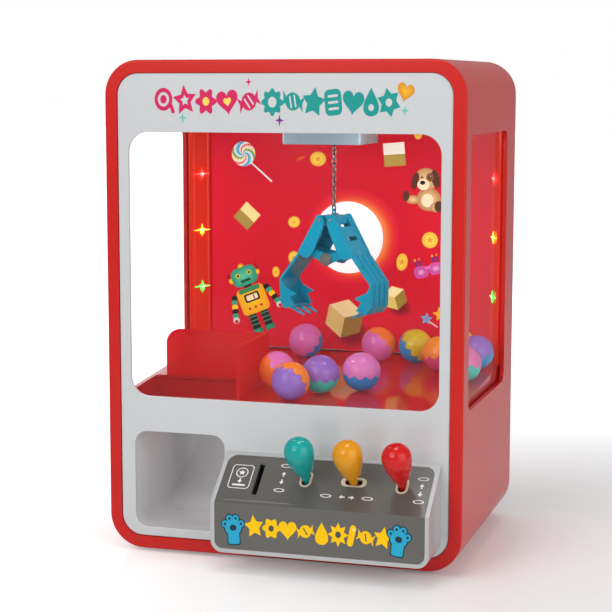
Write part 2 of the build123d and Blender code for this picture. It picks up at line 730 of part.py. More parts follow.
def speaker():
    """Loudspeaker behind the rear grille."""
    body = rod((-90, REAR_Y - 4.2, 62), (0, 1, 0), 24.0, 4.0)
    body += rod((-90, REAR_Y - 9.2, 62), (0, 1, 0), 16.0, 5.2)
    body += rod((-90, REAR_Y - 14.2, 62), (0, 1, 0), 11.0, 5.2)
    return body


def battery_box():
    """Open tray for four cells behind the battery door."""
    tray = block((-38, 38), (171.5, REAR_Y - 0.1), (24, 86))
    tray -= block((-36, 36), (173.3, REAR_Y + 1), (26, 84))
    for x in (-17.0, 0.0, 17.0):
        tray += block((x - 0.5, x + 0.5), (173, 180), (25.5, 84.5))
    return tray


def batteries():
    """Four AA cells."""
    cells = []
    for x in (-25.5, -8.5, 8.5, 25.5):
        cell = rod((x, 181, 29), (0, 0, 1), 7.1, 49.2)
        cells.append(cell + rod((x, 181, 78), (0, 0, 1), 2.7, 1.3))
    return cells


def battery_door():
    """Door under the hatch, hinged along its bottom edge, with two finger ribs."""
    door = block((-40, 40), (REAR_Y + 0.8, REAR_Y + REAR_T), (25.4, 86))
    for z in (74.0, 78.0, 82.0):
        door += block((-12, 12), (REAR_Y + REAR_T - 0.2, REAR_Y + REAR_T + 0.8), (z - 0.8, z + 0.8))
    door += rod((-40, REAR_Y + REAR_T - 1.1, 25.4), (1, 0, 0), 1.1, 80)
    return door


def power_switch():
    """Slider of the power switch."""
    knob = block((66.5, 73.5), (REAR_Y - 3.5, REAR_Y + REAR_T + 1.6), (57.2, 62.8))
    for x in (68.0, 70.0, 72.0):
        knob -= block((x - 0.4, x + 0.4), (REAR_Y + REAR_T + 1.0, CASE_D), (57, 63))
    return knob


# ---- crane: rails, bridge and carriage ----------------------------------------------------
def side_rail():
    """Right-hand rail with its rack moulded on the shelf."""
    rail = block((123.4, INNER_X - 0.1), (12, 183.5), (322.2, RAIL_TOP))
    rail += block((INNER_X - 0.8, INNER_X - 0.1), (12, 183.5), (RAIL_TOP - 0.1, 344))
    rack = prism_x(rack_outline(14, 183, RAIL_TOP + 1.75, RAIL_TOP - 0.1, BRIDGE_Y, 1), (124, 128))
    return rail + rack


def bridge_beam():
    """Two cross bars and end plates; the back bar carries the carriage's rack."""
    beam = block((-119, 119), FRONT_BAR_Y, BAR_Z)
    beam += block((-119, 119), BACK_BAR_Y, BAR_Z)
    rack = prism_z(
        rack_outline(-74, 106, BACK_BAR_Y[0] - 1.75, BACK_BAR_Y[0] + 0.1, CARRIAGE_PINION_X, -1),
        (332.2, 336.8),
    )
    beam += rack
    for side in (-1, 1):
        plate = block(sorted((side * 118, side * 121.5)), (86, 128), (329, 346))
        plate -= rod((side * 123, BRIDGE_Y, SHAFT_Z), (-side, 0, 0), 1.55, 6)
        beam += plate
        for y in ((86, 95), (119, 128)):
            beam += block(sorted((side * 121, side * 132.8)), y, (331.2, 336))
            beam += block(sorted((side * 129, side * 132.8)), y, (RAIL_TOP + 0.1, 332))
    for y in ((88, 93.4), (120.6, 126)):
        beam += block((84, 118.5), y, (342.6, 346))
    return beam + block((84, 110.6), (88, 126), (342.6, 344.2))


MOTOR_Z = SHAFT_Z + 18.1


def bridge_motor():
    """Motor that drives the bridge, lying along the beam."""
    motor = rod((86, BRIDGE_Y, MOTOR_Z), (1, 0, 0), 8.8, 24)
    motor += rod((84, BRIDGE_Y, MOTOR_Z), (1, 0, 0), 3.0, 2.5)
    return motor & block((80, 112), (90, 125), (344.3, 370))


def motor_pinion():
    """Small gear and shaft of the bridge motor."""
    outline = gear_outline((BRIDGE_Y, MOTOR_Z), 12, MODULE, -90 + 15)
    return prism_x(outline, (112.4, 116.6)) + rod((110.2, BRIDGE_Y, MOTOR_Z), (1, 0, 0), 1.0, 3)


def drive_shaft():
    """Cross shaft between the two rail pinions."""
    return rod((-128.4, BRIDGE_Y, SHAFT_Z), (1, 0, 0), 1.5, 256.8)


def shaft_gears():
    """Two rail pinions and the large gear, pressed on the cross shaft."""
    bore = rod((-140, BRIDGE_Y, SHAFT_Z), (1, 0, 0), 1.5, 280)
    pinion = gear_outline((BRIDGE_Y, SHAFT_Z), PINION_TEETH, MODULE, -90)
    wheel = gear_outline((BRIDGE_Y, SHAFT_Z), 24, MODULE, -90)
    gears = [prism_x(pinion, x) - bore for x in ((-128, -124), (124, 128))]
    return gears + [prism_x(wheel, (112.4, 116.6)) - bore]


def carriage_housing():
    """Pale box of the carriage, open at the top, hung on the two bars by four loops."""
    wall = 1.8
    body = slab_z(CARRIAGE_X, CARRIAGE_Y, 2.0, CARRIAGE_Z)
    body = fillet(body.faces().sort_by(Axis.Z)[0].edges(), 1.0)
    body -= block(
        (CARRIAGE_X[0] + wall, CARRIAGE_X[1] - wall), (CARRIAGE_Y[0] + wall, CARRIAGE_Y[1] - wall),
        (CARRIAGE_Z[0] + wall, CARRIAGE_Z[1] + 1),
    )
    for y in ((81, 96), (126.8, 134)):
        body += block((CARRIAGE_X[0] + 1, CARRIAGE_X[1] - 1), y, (329.2, 331))
    for x in ((-21, -9), (33, 38.5)):
        front = block(x, (84.5, 95.5), (329.5, 341.5))
        front -= block((x[0] - 1, x[1] + 1), (FRONT_BAR_Y[0] - 0.3, FRONT_BAR_Y[1] + 0.3), (331.7, 338.3))
        back = block(x, (115.5, 130), (329.5, 341.5))
        back -= block((x[0] - 1, x[1] + 1), (117.4, BACK_BAR_Y[1] + 0.3), (331.7, 338.3))
        body += front + back
    body += block((-8, 15), (95.0, 97.5), (307.5, 330)) - rod((3.5, 94, DRUM_Z), (0, 1, 0), 1.55, 5)
    body -= rod((3.5, 94, DRUM_Z), (0, 1, 0), 1.55, 5)
    body += block((18, 36), (105.9, 123.9), (307.5, 309.2))
    body += block((-6, 13), (118, 133.5), (307.5, 310.5)) - rod((3.5, 117, DRUM_Z), (0, 1, 0), 8.6, 17)
    return body - rod((CLAW_X, CLAW_Y, 300), (0, 0, 1), 3.2, 9)


def carriage_motor():
    """Upright motor that drives the carriage along the bridge."""
    y = pinion_y()
    return rod((CARRIAGE_PINION_X, y, 309.3), (0, 0, 1), 7.8, 19.8)


def pinion_y():
    """Distance back of the carriage pinion's axis, in mesh with the bridge's rack."""
    return BACK_BAR_Y[0] - 3.0 - MODULE * CARRIAGE_PINION_TEETH / 2 - 0.1


def carriage_pinion():
    """Pinion of the carriage drive, with its short shaft."""
    centre = (CARRIAGE_PINION_X, pinion_y())
    gear = prism_z(gear_outline(centre, CARRIAGE_PINION_TEETH, MODULE, 90), (332.2, 336.8))
    return gear + rod((*centre, 330.0), (0, 0, 1), 1.0, 3)


def winch_motor():
    """Motor behind the winch drum."""
    return rod((3.5, 117.6, DRUM_Z), (0, 1, 0), 8.4, 15.4)


def winch_drum():
    """Flanged drum that winds the chain, with its two stub shafts."""
    drum = rod((3.5, 100, DRUM_Z), (0, 1, 0), DRUM_R, 14)
    for y in (99.0, 113.5):
        drum += rod((3.5, y, DRUM_Z), (0, 1, 0), 9.4, 1.5)
    drum += rod((3.5, 95.2, DRUM_Z), (0, 1, 0), 1.5, 5)
    return drum + rod((3.5, 114, DRUM_Z), (0, 1, 0), 1.5, 3.4)


def wound_chain():
    """Turns of chain lying on the drum."""
    turns = []
    for y in (101.7, 104.0, 110.0, 112.3):
        turns.append(Pos(3.5, y, DRUM_Z) * Rot(90, 0, 0) * Torus(CHAIN_R, 1.1))
    return turns


def lift_chain():
    """Hanging chain of oval wire links, every second one turned by a quarter."""
    links = []
    inner_width = 2 * CHAIN_WIRE + 0.35
    bend = inner_width / 2 + CHAIN_WIRE
    straight = CHAIN_PITCH + 0.1 - inner_width
    ring = Torus(bend, CHAIN_WIRE).rotate(Axis.X, 90)
    link = Pos(0, 0, straight / 2) * (ring & block((-5, 5), (-5, 5), (0, 5)))
    link += Pos(0, 0, -straight / 2) * (ring & block((-5, 5), (-5, 5), (-5, 0)))
    for side in (-1, 1):
        link += rod((side * bend, 0, -straight / 2), (0, 0, 1), CHAIN_WIRE, straight)
    for number in range(17):
        turn = Rot(0, 0, CLAW_YAW + 90 * (number % 2))
        links.append(Pos(CLAW_X, CLAW_Y, CHAIN_LOW + number * CHAIN_PITCH) * turn * link)
    return links


# ---- claw ---------------------------------------------------------------------------------
CLAW_HOME = Location((CLAW_X, CLAW_Y, 0), (0, 0, CLAW_YAW))
WEB_OUTER = ((6.6, 250.6), (24.6, 221.0), (42.4, 199.0), (41.8, 180.5), (37.8, 175.0), (31.0, 176.4))
WEB_INNER = ((31.4, 178.2), (36.9, 177.1), (39.9, 181.2), (40.5, 198.4), (23.1, 219.8), (5.0, 249.7))


def claw_head():
    """Block that carries the two jaw pins, with the chain's lug on top."""
    head = slab_y((-7.6, 7.6), (242.8, 250.4), 1.5, (-7, 7))
    lug = block((-0.4, 0.4), (-2.6, 2.6), (250, 255.2)) - rod((-2, 0, 252.9), (1, 0, 0), 1.4, 4)
    head += lug
    for side in (-1, 1):
        head -= rod((side * JAW_PIVOT[0], -8, JAW_PIVOT[1]), (0, 1, 0), 1.2, 16)
    return CLAW_HOME * head


def jaw_pins():
    """Two steel pins through the head, on which the jaws turn."""
    return [
        CLAW_HOME * rod((side * JAW_PIVOT[0], -14.3, JAW_PIVOT[1]), (0, 1, 0), 1.2, 28.6)
        for side in (-1, 1)
    ]


def right_jaw():
    """Right jaw: ribbed outer web, two pivot arms, side cheeks and three prongs."""
    web = prism_y(list(WEB_OUTER) + list(WEB_INNER), (-JAW_HALF, JAW_HALF))
    web -= block((0, 16), (-7.8, 7.8), (241.5, 260))
    web -= block((10, 26), (-6.5, 6.5), (231.0, 234.0))
    arm_outline = [
        (4.2, 250.8), (7.4, 250.6), (25.0, 221.3), (23.6, 218.6), (17.4, 216.4), (12.6, 219.4),
        (9.6, 225.0), (2.4, 240.6), (1.2, 245.0),
    ]
    cheek_outline = [
        (41.6, 198.0), (41.6, 180.6), (37.6, 175.4), (28.4, 177.4), (33.0, 184.2), (27.0, 187.2),
        (37.8, 192.2),
    ]
    jaw = web
    for side in (-1, 1):
        band = sorted((side * 11.3, side * JAW_HALF))
        jaw += prism_y(arm_outline, band)
        jaw += prism_y(cheek_outline, sorted((side * 12.1, side * JAW_HALF)))
    for y in (-7.5, 0.0, 7.5):
        rib_path = [(25.0, 219.4), (41.9, 198.8), (41.4, 180.8), (42.7, 180.6), (43.3, 199.3), (26.3, 220.7)]
        jaw += prism_y(rib_path, (y - 0.8, y + 0.8))
    for y in (-9.6, 0.0, 9.6):
        prong = loft([
            Plane(origin=(33.0, y, 176.4), z_dir=(-1, 0, -0.5)) * Rectangle(1.7, 5.6),
            Plane(origin=(21.6, y, 170.6), z_dir=(-1, 0, -0.5)) * Rectangle(0.9, 1.6),
        ])
        jaw += prong
    jaw -= rod((JAW_PIVOT[0], -15, JAW_PIVOT[1]), (0, 1, 0), 1.25, 30)
    jaw -= rod((LINK_PIVOT[0], -15, LINK_PIVOT[1]), (0, 1, 0), 1.02, 30)
    return jaw


def links(side, near, far):
    """One jaw's two links: tapered plates with a rivet for the jaw and an eye for the weight's pin."""
    pair = []
    span = (LINK_JOINT[0] - LINK_PIVOT[0], LINK_JOINT[1] - LINK_PIVOT[1])
    length = math.hypot(*span)
    angle = math.degrees(math.atan2(span[1], span[0]))
    outline = []
    for along, across in ((-2.6, 1.4), (-1.6, 2.6), (length * 0.5, 3.3), (length, 4.4),
                          (length + 3.2, 3.1), (length + 4.4, 0.0), (length + 3.2, -3.1),
                          (length, -4.4), (length * 0.5, -3.3), (-1.6, -2.6), (-2.6, -1.4)):
        x, z = turned((along, across), angle)
        outline.append((side * (LINK_PIVOT[0] + x), LINK_PIVOT[1] + z))
    for face in (-1, 1):
        plate = prism_y(outline, sorted((face * near, face * far)))
        plate -= rod((0, -15, LINK_JOINT[1]), (0, 1, 0), 2.7, 30)
        start = (side * LINK_PIVOT[0], face * near, LINK_PIVOT[1])
        plate += rod(start, (0, face, 0), 0.97, 13.9 - near)
        pair.append(CLAW_HOME * plate)
    return pair


def weight_pin():
    """Steel cross pin with a round weight at each end; its fall closes the jaws."""
    pin = rod((0, -13.0, LINK_JOINT[1]), (0, 1, 0), 1.1, 26)
    for start in (-13.3, 11.3):
        disc = rod((0, start, LINK_JOINT[1]), (0, 1, 0), 5.0, 2.0)
        pin += chamfer(disc.edges(), 0.4)
    return CLAW_HOME * pin


# ---- write every node ---------------------------------------------------------------------
column = light_column()
upper_halves, lower_halves = capsules()
jaw = right_jaw()

save("main_case", main_case())
save("front_fascia", front_fascia())
save("front_window", front_window())
save("side_windows", side_window(-1), side_window(1))
save("rear_cover", rear_cover())
save("case_screws", *case_screws())
save("rubber_feet", *rubber_feet())
save("rear_hatch", rear_hatch())
save("hatch_pins", *hatch_pins())
save("backdrop_card", backdrop_card())
save("playfield_floor", playfield_floor())
save("chute_fence", chute_fence())
save("chute_funnel", chute_funnel())
save("prize_bin", prize_bin())
save("capsule_upper_halves", *upper_halves)
save("capsule_lower_halves", *lower_halves)
save("light_columns", column, mirror_x(column))
save("star_lenses", *star_lenses())
save("led_boards", *led_boards())
save("console_housing", console_housing())
save("console_label", console_label())
save("slot_plates", *slot_plates())
save("coin_chute", coin_chute())
save("coin_tray", coin_tray())
save("coin_flap", coin_flap())
for index, colour in enumerate(("teal", "yellow", "red")):
    save("lever_" + colour, lever(index))
save("lever_frame", lever_frame())
save("lever_pins", *lever_pins())
save("lever_springs", *lever_springs())
save("switch_bodies", *switch_bodies())
save("control_board", control_board())
save("wiring_loom", *wiring_loom())
save("speaker", speaker())
save("battery_box", battery_box())
save("batteries", *batteries())
save("battery_door", battery_door())
save("power_switch", power_switch())
save("side_rails", side_rail(), mirror_x(side_rail()))
save("bridge_beam", bridge_beam())
save("bridge_motor", bridge_motor())
save("motor_pinion", motor_pinion())
save("drive_shaft", drive_shaft())
save("shaft_gears", *shaft_gears())
save("carriage_housing", carriage_housing())
save("carriage_motor", carriage_motor())
save("carriage_pinion", carriage_pinion())
save("winch_motor", winch_motor())
save("winch_drum", winch_drum())
save("wound_chain", *wound_chain())
save("lift_chain", *lift_chain())
save("claw_head", claw_head())
save("jaw_pins", *jaw_pins())
save("jaw_right", CLAW_HOME * jaw)
save("jaw_left", CLAW_HOME * mirror_x(jaw))
save("links_right", *links(1, 9.9, 11.1))
save("links_left", *links(-1, 8.5, 9.7))
save("weight_pin", weight_pin())
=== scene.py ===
"""Desktop claw crane machine: finishes, printed artwork, prize capsules, chain, lamps and stage."""

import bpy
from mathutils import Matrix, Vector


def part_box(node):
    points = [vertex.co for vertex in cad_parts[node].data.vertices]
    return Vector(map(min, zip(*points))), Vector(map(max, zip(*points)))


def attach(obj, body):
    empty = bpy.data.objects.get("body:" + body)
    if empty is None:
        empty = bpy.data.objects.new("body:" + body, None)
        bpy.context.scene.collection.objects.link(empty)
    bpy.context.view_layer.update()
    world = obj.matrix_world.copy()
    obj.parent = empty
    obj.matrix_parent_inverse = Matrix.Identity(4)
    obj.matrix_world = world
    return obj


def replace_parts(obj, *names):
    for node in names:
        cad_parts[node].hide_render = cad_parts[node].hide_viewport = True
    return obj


bl_info = {
    "name": "Claw Crane Machine",
    "version": (1, 0, 0),
    "blender": (4, 5, 0),
    "location": "View3D > Sidebar > Claw Machine",
    "description": "Dresses the packed claw crane machine with its finishes, prints and small pieces",
    "category": "Object",
}

import math

import bmesh
import bpy
import numpy as np
from bpy.props import FloatProperty, FloatVectorProperty, IntProperty, PointerProperty

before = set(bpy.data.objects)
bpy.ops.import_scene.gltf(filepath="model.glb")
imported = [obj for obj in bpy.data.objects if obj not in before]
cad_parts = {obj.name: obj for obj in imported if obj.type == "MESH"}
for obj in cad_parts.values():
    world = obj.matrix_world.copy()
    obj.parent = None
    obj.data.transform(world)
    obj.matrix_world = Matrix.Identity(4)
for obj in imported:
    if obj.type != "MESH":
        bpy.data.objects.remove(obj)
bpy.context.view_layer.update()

# ---- places, in mm from the middle of the case's lower front edge -------------------------
MM = 0.001
CASE_LOW, CASE_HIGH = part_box("main_case")
ORIGIN = np.array([(CASE_LOW.x + CASE_HIGH.x) / 2, CASE_LOW.y, CASE_LOW.z])
FASCIA_FRONT = (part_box("front_fascia")[0].y - ORIGIN[1]) / MM
CARD_FRONT = (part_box("backdrop_card")[0].y - ORIGIN[1]) / MM

# the console's slope runs down from its top edge to the fold over its face; an S is measured down it
CONSOLE_OUT = 38.5
CONSOLE_TOP = 80.2
CONSOLE_FOLD = 50.5
LABEL_RECESS = 0.25
BEAD_S = 45.4
BEAD_X = (-35.0, 24.0)
BEAD_RADIUS = 1.25
BEAD_SINK = 0.75
SLOPE = math.atan2(CONSOLE_TOP - CONSOLE_FOLD, CONSOLE_OUT)
SLOPE_OUT = np.array([0.0, -math.sin(SLOPE), math.cos(SLOPE)])
SLOPE_DOWN = np.array([0.0, -math.cos(SLOPE), -math.sin(SLOPE)])

LEVER_X = (25.0, 61.0, 97.0)
LEVER_S = 21.5
LEVER_DEPTH = 14.2
LEVER_PIVOT = (LEVER_DEPTH * math.sin(SLOPE) - LEVER_S * math.cos(SLOPE),
               CONSOLE_TOP - LEVER_S * math.sin(SLOPE) - LEVER_DEPTH * math.cos(SLOPE))

# the playfield's height at the front, and how far it climbs for each mm towards the back
FLOOR_Z = 115.8
FLOOR_RISE = 0.0705
CLAW_X, CLAW_Y = 10.5, 107.0
CLAW_YAW = math.radians(-16.0)
CHAIN_LOW = 256.1
CHAIN_PITCH = 3.6
CHAIN_LINKS = 18
# the lamps' heights, their distance in from the lenses' outer edge and the way their column's face runs
LIGHT_Z = (277.0, 229.5, 181.5)
LENS_INSET = 2.9
COLUMN_FACE = (6.1, -13.0, 0.0)
MOTIF_Z = 33.0
HEADER_Z = 339.6

CAMERA_TARGET = (9.2, 0.0, 187.7)
CAMERA_AWAY = 1254.2
CAMERA_TURN = math.radians(17.14)
CAMERA_RISE = math.radians(7.56)
CAMERA_LENS = 100.86
CAMERA_SHIFT = (0.0224, 0.0080)


def at(x, y, z):
    """Points in metres for numbers or arrays in mm from the middle of the case's front edge."""
    spread = np.broadcast_arrays(np.asarray(x, float), np.asarray(y, float), np.asarray(z, float))
    return ORIGIN + MM * np.stack(spread, axis=-1)


def linear(code):
    """Linear red, green and blue of a six-digit colour code."""
    value = np.array([int(code[i:i + 2], 16) for i in (1, 3, 5)]) / 255
    return tuple(np.where(value <= 0.04045, value / 12.92, ((value + 0.055) / 1.055) ** 2.4))


# ---- outlines, each an array of points in a plane, in mm -----------------------------------
def circle(radius, centre=(0, 0), wide=1.0, count=48):
    """A circle or, with wide other than 1, an ellipse: radius times cosine and sine of the turn."""
    turn = np.linspace(0, 2 * np.pi, count, endpoint=False)
    return np.stack([centre[0] + radius * wide * np.cos(turn), centre[1] + radius * np.sin(turn)], 1)


def star(outer, inner, corners, centre=(0, 0), tilt=90.0):
    """Corners at the outer radius and notches at the inner one, in turn."""
    turn = np.linspace(0, 2 * np.pi, 2 * corners, endpoint=False) + math.radians(tilt)
    radius = np.where(np.arange(2 * corners) % 2 == 0, outer, inner)
    return np.stack([centre[0] + radius * np.cos(turn), centre[1] + radius * np.sin(turn)], 1)


def lobed(radius, depth, lobes, centre=(0, 0), tilt=0.0, count=96):
    """A circle whose radius swells and shrinks as a cosine, lobes times round."""
    turn = np.linspace(0, 2 * np.pi, count, endpoint=False)
    reach = radius * (1 + depth * np.cos(lobes * (turn - math.radians(tilt))))
    return np.stack([centre[0] + reach * np.cos(turn), centre[1] + reach * np.sin(turn)], 1)


def rounded(width, height, radius, centre=(0, 0), count=48):
    """A rectangle's four corner centres, each with its quarter of a circle round it."""
    turn = (np.arange(count) + 0.5) * 2 * np.pi / count
    x = np.sign(np.cos(turn)) * (width / 2 - radius) + radius * np.cos(turn)
    y = np.sign(np.sin(turn)) * (height / 2 - radius) + radius * np.sin(turn)
    return np.stack([centre[0] + x, centre[1] + y], 1)


def heart(size, centre=(0, 0), count=64):
    """The heart curve: sine cubed across, and a sum of four cosines up."""
    t = np.linspace(0, 2 * np.pi, count, endpoint=False)
    x = 16 * np.sin(t) ** 3
    y = 13 * np.cos(t) - 5 * np.cos(2 * t) - 2 * np.cos(3 * t) - np.cos(4 * t)
    return np.stack([centre[0] + x * size / 32, centre[1] + (y + 2) * size / 32], 1)


def drop(size, centre=(0, 0), count=48):
    """A falling drop: a circle whose sides draw in to a point at the top."""
    t = np.linspace(0, 2 * np.pi, count, endpoint=False)
    x = 0.5 * np.sin(t) * np.sin(t / 2) ** 1.5
    return np.stack([centre[0] + size * x * 0.95, centre[1] + size * 0.5 * np.cos(t)], 1)


def points(*pairs):
    """An outline given by its corners."""
    return np.array(pairs, float)


def turned(outline, degrees, about=(0, 0)):
    """An outline turned about a point."""
    c, s = math.cos(math.radians(degrees)), math.sin(math.radians(degrees))
    away = outline - np.array(about)
    return away @ np.array([[c, s], [-s, c]]) + np.array(about)


# ---- meshes --------------------------------------------------------------------------------
class Build:
    """Collects numpy grids into one mesh, with a colour for each point."""

    def __init__(self):
        self.points = []
        self.tints = []
        self.faces = []
        self.count = 0

    def add(self, place, faces, tint):
        """Takes points of shape (n, 3), lists of point numbers, and one colour or one for each point."""
        self.points.append(place)
        self.tints.append(np.broadcast_to(np.asarray(tint, float), (len(place), 3)))
        self.faces += [[number + self.count for number in face] for face in faces]
        self.count += len(place)

    def grid(self, place, tint=(1, 1, 1), loop=True, closed=False, ends=False):
        """Quads over a rows x columns grid of points; loop joins the last column to the first, closed
        joins the last row to the first, and ends fills the first and last row with one face each."""
        rows, columns = place.shape[:2]
        number = np.arange(rows * columns).reshape(rows, columns)
        if loop:
            number = np.concatenate([number, number[:, :1]], axis=1)
        if closed:
            number = np.concatenate([number, number[:1]], axis=0)
        quads = np.stack([number[:-1, :-1], number[:-1, 1:], number[1:, 1:], number[1:, :-1]], axis=-1)
        faces = quads.reshape(-1, 4).tolist()
        if ends:
            faces.append(number[0, :columns][::-1].tolist())
            faces.append(number[-1, :columns].tolist())
        shade = np.asarray(tint, float)
        if shade.ndim == 3:
            shade = shade.reshape(-1, 3)
        self.add(place.reshape(-1, 3), faces, shade)

    def tube(self, path, radius, sides=12, tint=(1, 1, 1), closed=False):
        """A circle carried along a path: each section stands square to the path's direction there."""
        if closed:
            along = np.roll(path, -1, axis=0) - np.roll(path, 1, axis=0)
        else:
            along = np.gradient(path, axis=0)
        along /= np.linalg.norm(along, axis=1, keepdims=True)
        upright = np.abs(along[:, 2]).max() >= 0.9
        spare = np.array([0.31, 0.95, 0.05] if upright else [0.0, 0.0, 1.0])
        side = np.cross(along, spare)
        side /= np.linalg.norm(side, axis=1, keepdims=True)
        rise = np.cross(side, along)
        turn = np.linspace(0, 2 * np.pi, sides, endpoint=False)[None, :, None]
        reach = np.broadcast_to(np.asarray(radius, float), (len(path),))[:, None, None]
        ring = reach * (np.cos(turn) * side[:, None] + np.sin(turn) * rise[:, None])
        self.grid(path[:, None] + ring, tint, closed=closed, ends=not closed)

    def make(self, name, material, body, slot, sharp=32.0, outward=True):
        """Makes the object: shading is smooth up to the sharp angle, and faces are turned outwards."""
        mesh = bpy.data.meshes.new(name)
        mesh.from_pydata(np.concatenate(self.points), [], self.faces)
        tint = mesh.attributes.new("tint", "FLOAT_COLOR", "POINT")
        colours = np.concatenate(self.tints)
        colours = np.concatenate([colours, np.ones((len(colours), 1))], axis=1)
        tint.data.foreach_set("color", colours.astype(np.float32).ravel())
        if outward:
            shell = bmesh.new()
            shell.from_mesh(mesh)
            bmesh.ops.recalc_face_normals(shell, faces=shell.faces)
            shell.to_mesh(mesh)
            shell.free()
        mesh.polygons.foreach_set("use_smooth", np.ones(len(mesh.polygons), bool))
        mesh.set_sharp_from_angle(angle=math.radians(sharp))
        mesh.materials.append(material)
        piece = bpy.data.objects.new(name, mesh)
        bpy.context.scene.collection.objects.link(piece)
        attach(piece, body)
        return piece


class Print:
    """Flat coloured shapes laid on a plane, each a thin layer on the ones before it."""

    def __init__(self, base, across, up, out, height=0.02, step=0.004):
        self.base = np.asarray(base, float)
        self.across = np.asarray(across, float)
        self.up = np.asarray(up, float)
        self.out = np.asarray(out, float)
        self.step = step
        self.height = height
        self.build = Build()

    def lift(self, flat, height):
        """Points in metres of flat points (mm) at a height (mm) above the plane."""
        place = self.base + flat[..., :1] * self.across + flat[..., 1:] * self.up
        raised = place + np.asarray(height, float)[..., None] * self.out
        return at(raised[..., 0], raised[..., 1], raised[..., 2])

    def shape(self, outline, colour, centre=None, edge=None):
        """Fills an outline by drawing it in to its centre; edge gives the rim a colour of its own."""
        self.height += self.step
        middle = outline.mean(0) if centre is None else np.asarray(centre, float)
        rings = np.stack([outline, outline, middle + 0.02 * (outline - middle)])
        heights = np.array([0.0, self.height, self.height])[:, None] * np.ones(len(outline))
        inner = np.array(linear(colour))
        outer = inner if edge is None else np.array(linear(edge))
        tint = np.stack([outer, outer, inner])[:, None] * np.ones((1, len(outline), 1))
        place = self.lift(rings, heights)
        self.build.grid(place, tint, ends=True)

    def band(self, outer, inner, colour):
        """A flat ring between two outlines with the same number of points."""
        self.height += self.step
        rings = np.stack([outer, outer, inner, inner])
        heights = np.array([0.0, self.height, self.height, 0.0])[:, None] * np.ones(len(outer))
        self.build.grid(self.lift(rings, heights), linear(colour), closed=True)

    def blush(self, centre, radii, colours, wide=1.0):
        """Rings of colour that melt into each other from the middle out."""
        self.height += self.step
        count = 72
        rings = np.stack([circle(radius, centre, wide, count) for radius in (*radii, radii[-1])])
        heights = np.array([self.height] * len(radii) + [0.0])[:, None] * np.ones(count)
        codes = colours + colours[-1:]
        tint = np.array([linear(code) for code in codes])[:, None] * np.ones((1, count, 1))
        self.build.grid(self.lift(rings, heights), tint, ends=True)


# ---- materials -----------------------------------------------------------------------------
def new_material(name):
    """An empty node material with its output, a principled shader and object coordinates."""
    material = bpy.data.materials.new(name)
    material.use_nodes = True
    tree = material.node_tree
    shader = tree.nodes["Principled BSDF"]
    where = tree.nodes.new("ShaderNodeTexCoord")
    return material, tree, shader, where.outputs["Object"]


def noise(tree, where, size, detail=3.0):
    """Noise whose patches are about size metres across."""
    node = tree.nodes.new("ShaderNodeTexNoise")
    node.inputs["Scale"].default_value = 1.0 / size
    node.inputs["Detail"].default_value = detail
    tree.links.new(where, node.inputs["Vector"])
    return node.outputs["Fac"]


def spread(tree, value, low, high):
    """Stretches the middle of a noise to run from low to high."""
    node = tree.nodes.new("ShaderNodeMapRange")
    node.inputs["From Min"].default_value = 0.3
    node.inputs["From Max"].default_value = 0.7
    node.inputs["To Min"].default_value = low
    node.inputs["To Max"].default_value = high
    tree.links.new(value, node.inputs["Value"])
    return node.outputs["Result"]


def shade(tree, colour, value, amount):
    """Darkens and lightens a colour, or a colour socket, by a small share that a noise decides."""
    node = tree.nodes.new("ShaderNodeMix")
    node.data_type = "RGBA"
    node.blend_type = "MULTIPLY"
    node.inputs["Factor"].default_value = 1.0
    if isinstance(colour, bpy.types.NodeSocket):
        tree.links.new(colour, node.inputs["A"])
    else:
        node.inputs["A"].default_value = (*colour, 1)
    tree.links.new(spread(tree, value, 1 - amount, 1 + amount / 3), node.inputs["B"])
    return node.outputs["Result"]


def bump(tree, shader, value, height):
    """Raises the surface by a texture, height metres from its dark to its light."""
    node = tree.nodes.new("ShaderNodeBump")
    node.inputs["Strength"].default_value = 0.5
    node.inputs["Distance"].default_value = height
    tree.links.new(value, node.inputs["Height"])
    tree.links.new(node.outputs["Normal"], shader.inputs["Normal"])


def tint_of(tree):
    """The colour that each point of the mesh carries."""
    node = tree.nodes.new("ShaderNodeAttribute")
    node.attribute_name = "tint"
    return node.outputs["Color"]


def plastic(name, colour, roughness, grain=0.0006, height=0.000003, mottle=0.02, coat=0.0, specular=0.5,
            glow=0.0):
    """Moulded plastic: broad shade changes, a patchy polish and a fine grain. With no colour given, the
    mesh's own point colours show."""
    material, tree, shader, where = new_material(name)
    base = tint_of(tree) if colour is None else colour
    mixed = shade(tree, base, noise(tree, where, 0.035), mottle)
    tree.links.new(mixed, shader.inputs["Base Color"])
    patches = noise(tree, where, 0.012, 4.0)
    tree.links.new(spread(tree, patches, roughness * 0.92, roughness * 1.1), shader.inputs["Roughness"])
    bump(tree, shader, noise(tree, where, grain, 2.0), height)
    shader.inputs["Coat Weight"].default_value = coat
    shader.inputs["Coat Roughness"].default_value = 0.04
    shader.inputs["Specular IOR Level"].default_value = specular
    # glow is an even emission in the surface's own colour: painted light on parts that are no lamps, real
    # light on the lamps
    if glow:
        tree.links.new(mixed, shader.inputs["Emission Color"])
        shader.inputs["Emission Strength"].default_value = glow
    return material


def metal(name, colour, roughness, stretch=(1, 1, 40), size=0.004):
    """Steel with fine drawn lines: noise squeezed along one direction sets the polish and the bump."""
    material, tree, shader, where = new_material(name)
    mapping = tree.nodes.new("ShaderNodeMapping")
    mapping.inputs["Scale"].default_value = stretch
    tree.links.new(where, mapping.inputs["Vector"])
    lines = noise(tree, mapping.outputs["Vector"], size, 4.0)
    tree.links.new(shade(tree, colour, lines, 0.12), shader.inputs["Base Color"])
    tree.links.new(spread(tree, lines, roughness * 0.7, roughness * 1.4), shader.inputs["Roughness"])
    bump(tree, shader, lines, 0.00001)
    shader.inputs["Metallic"].default_value = 1.0
    return material


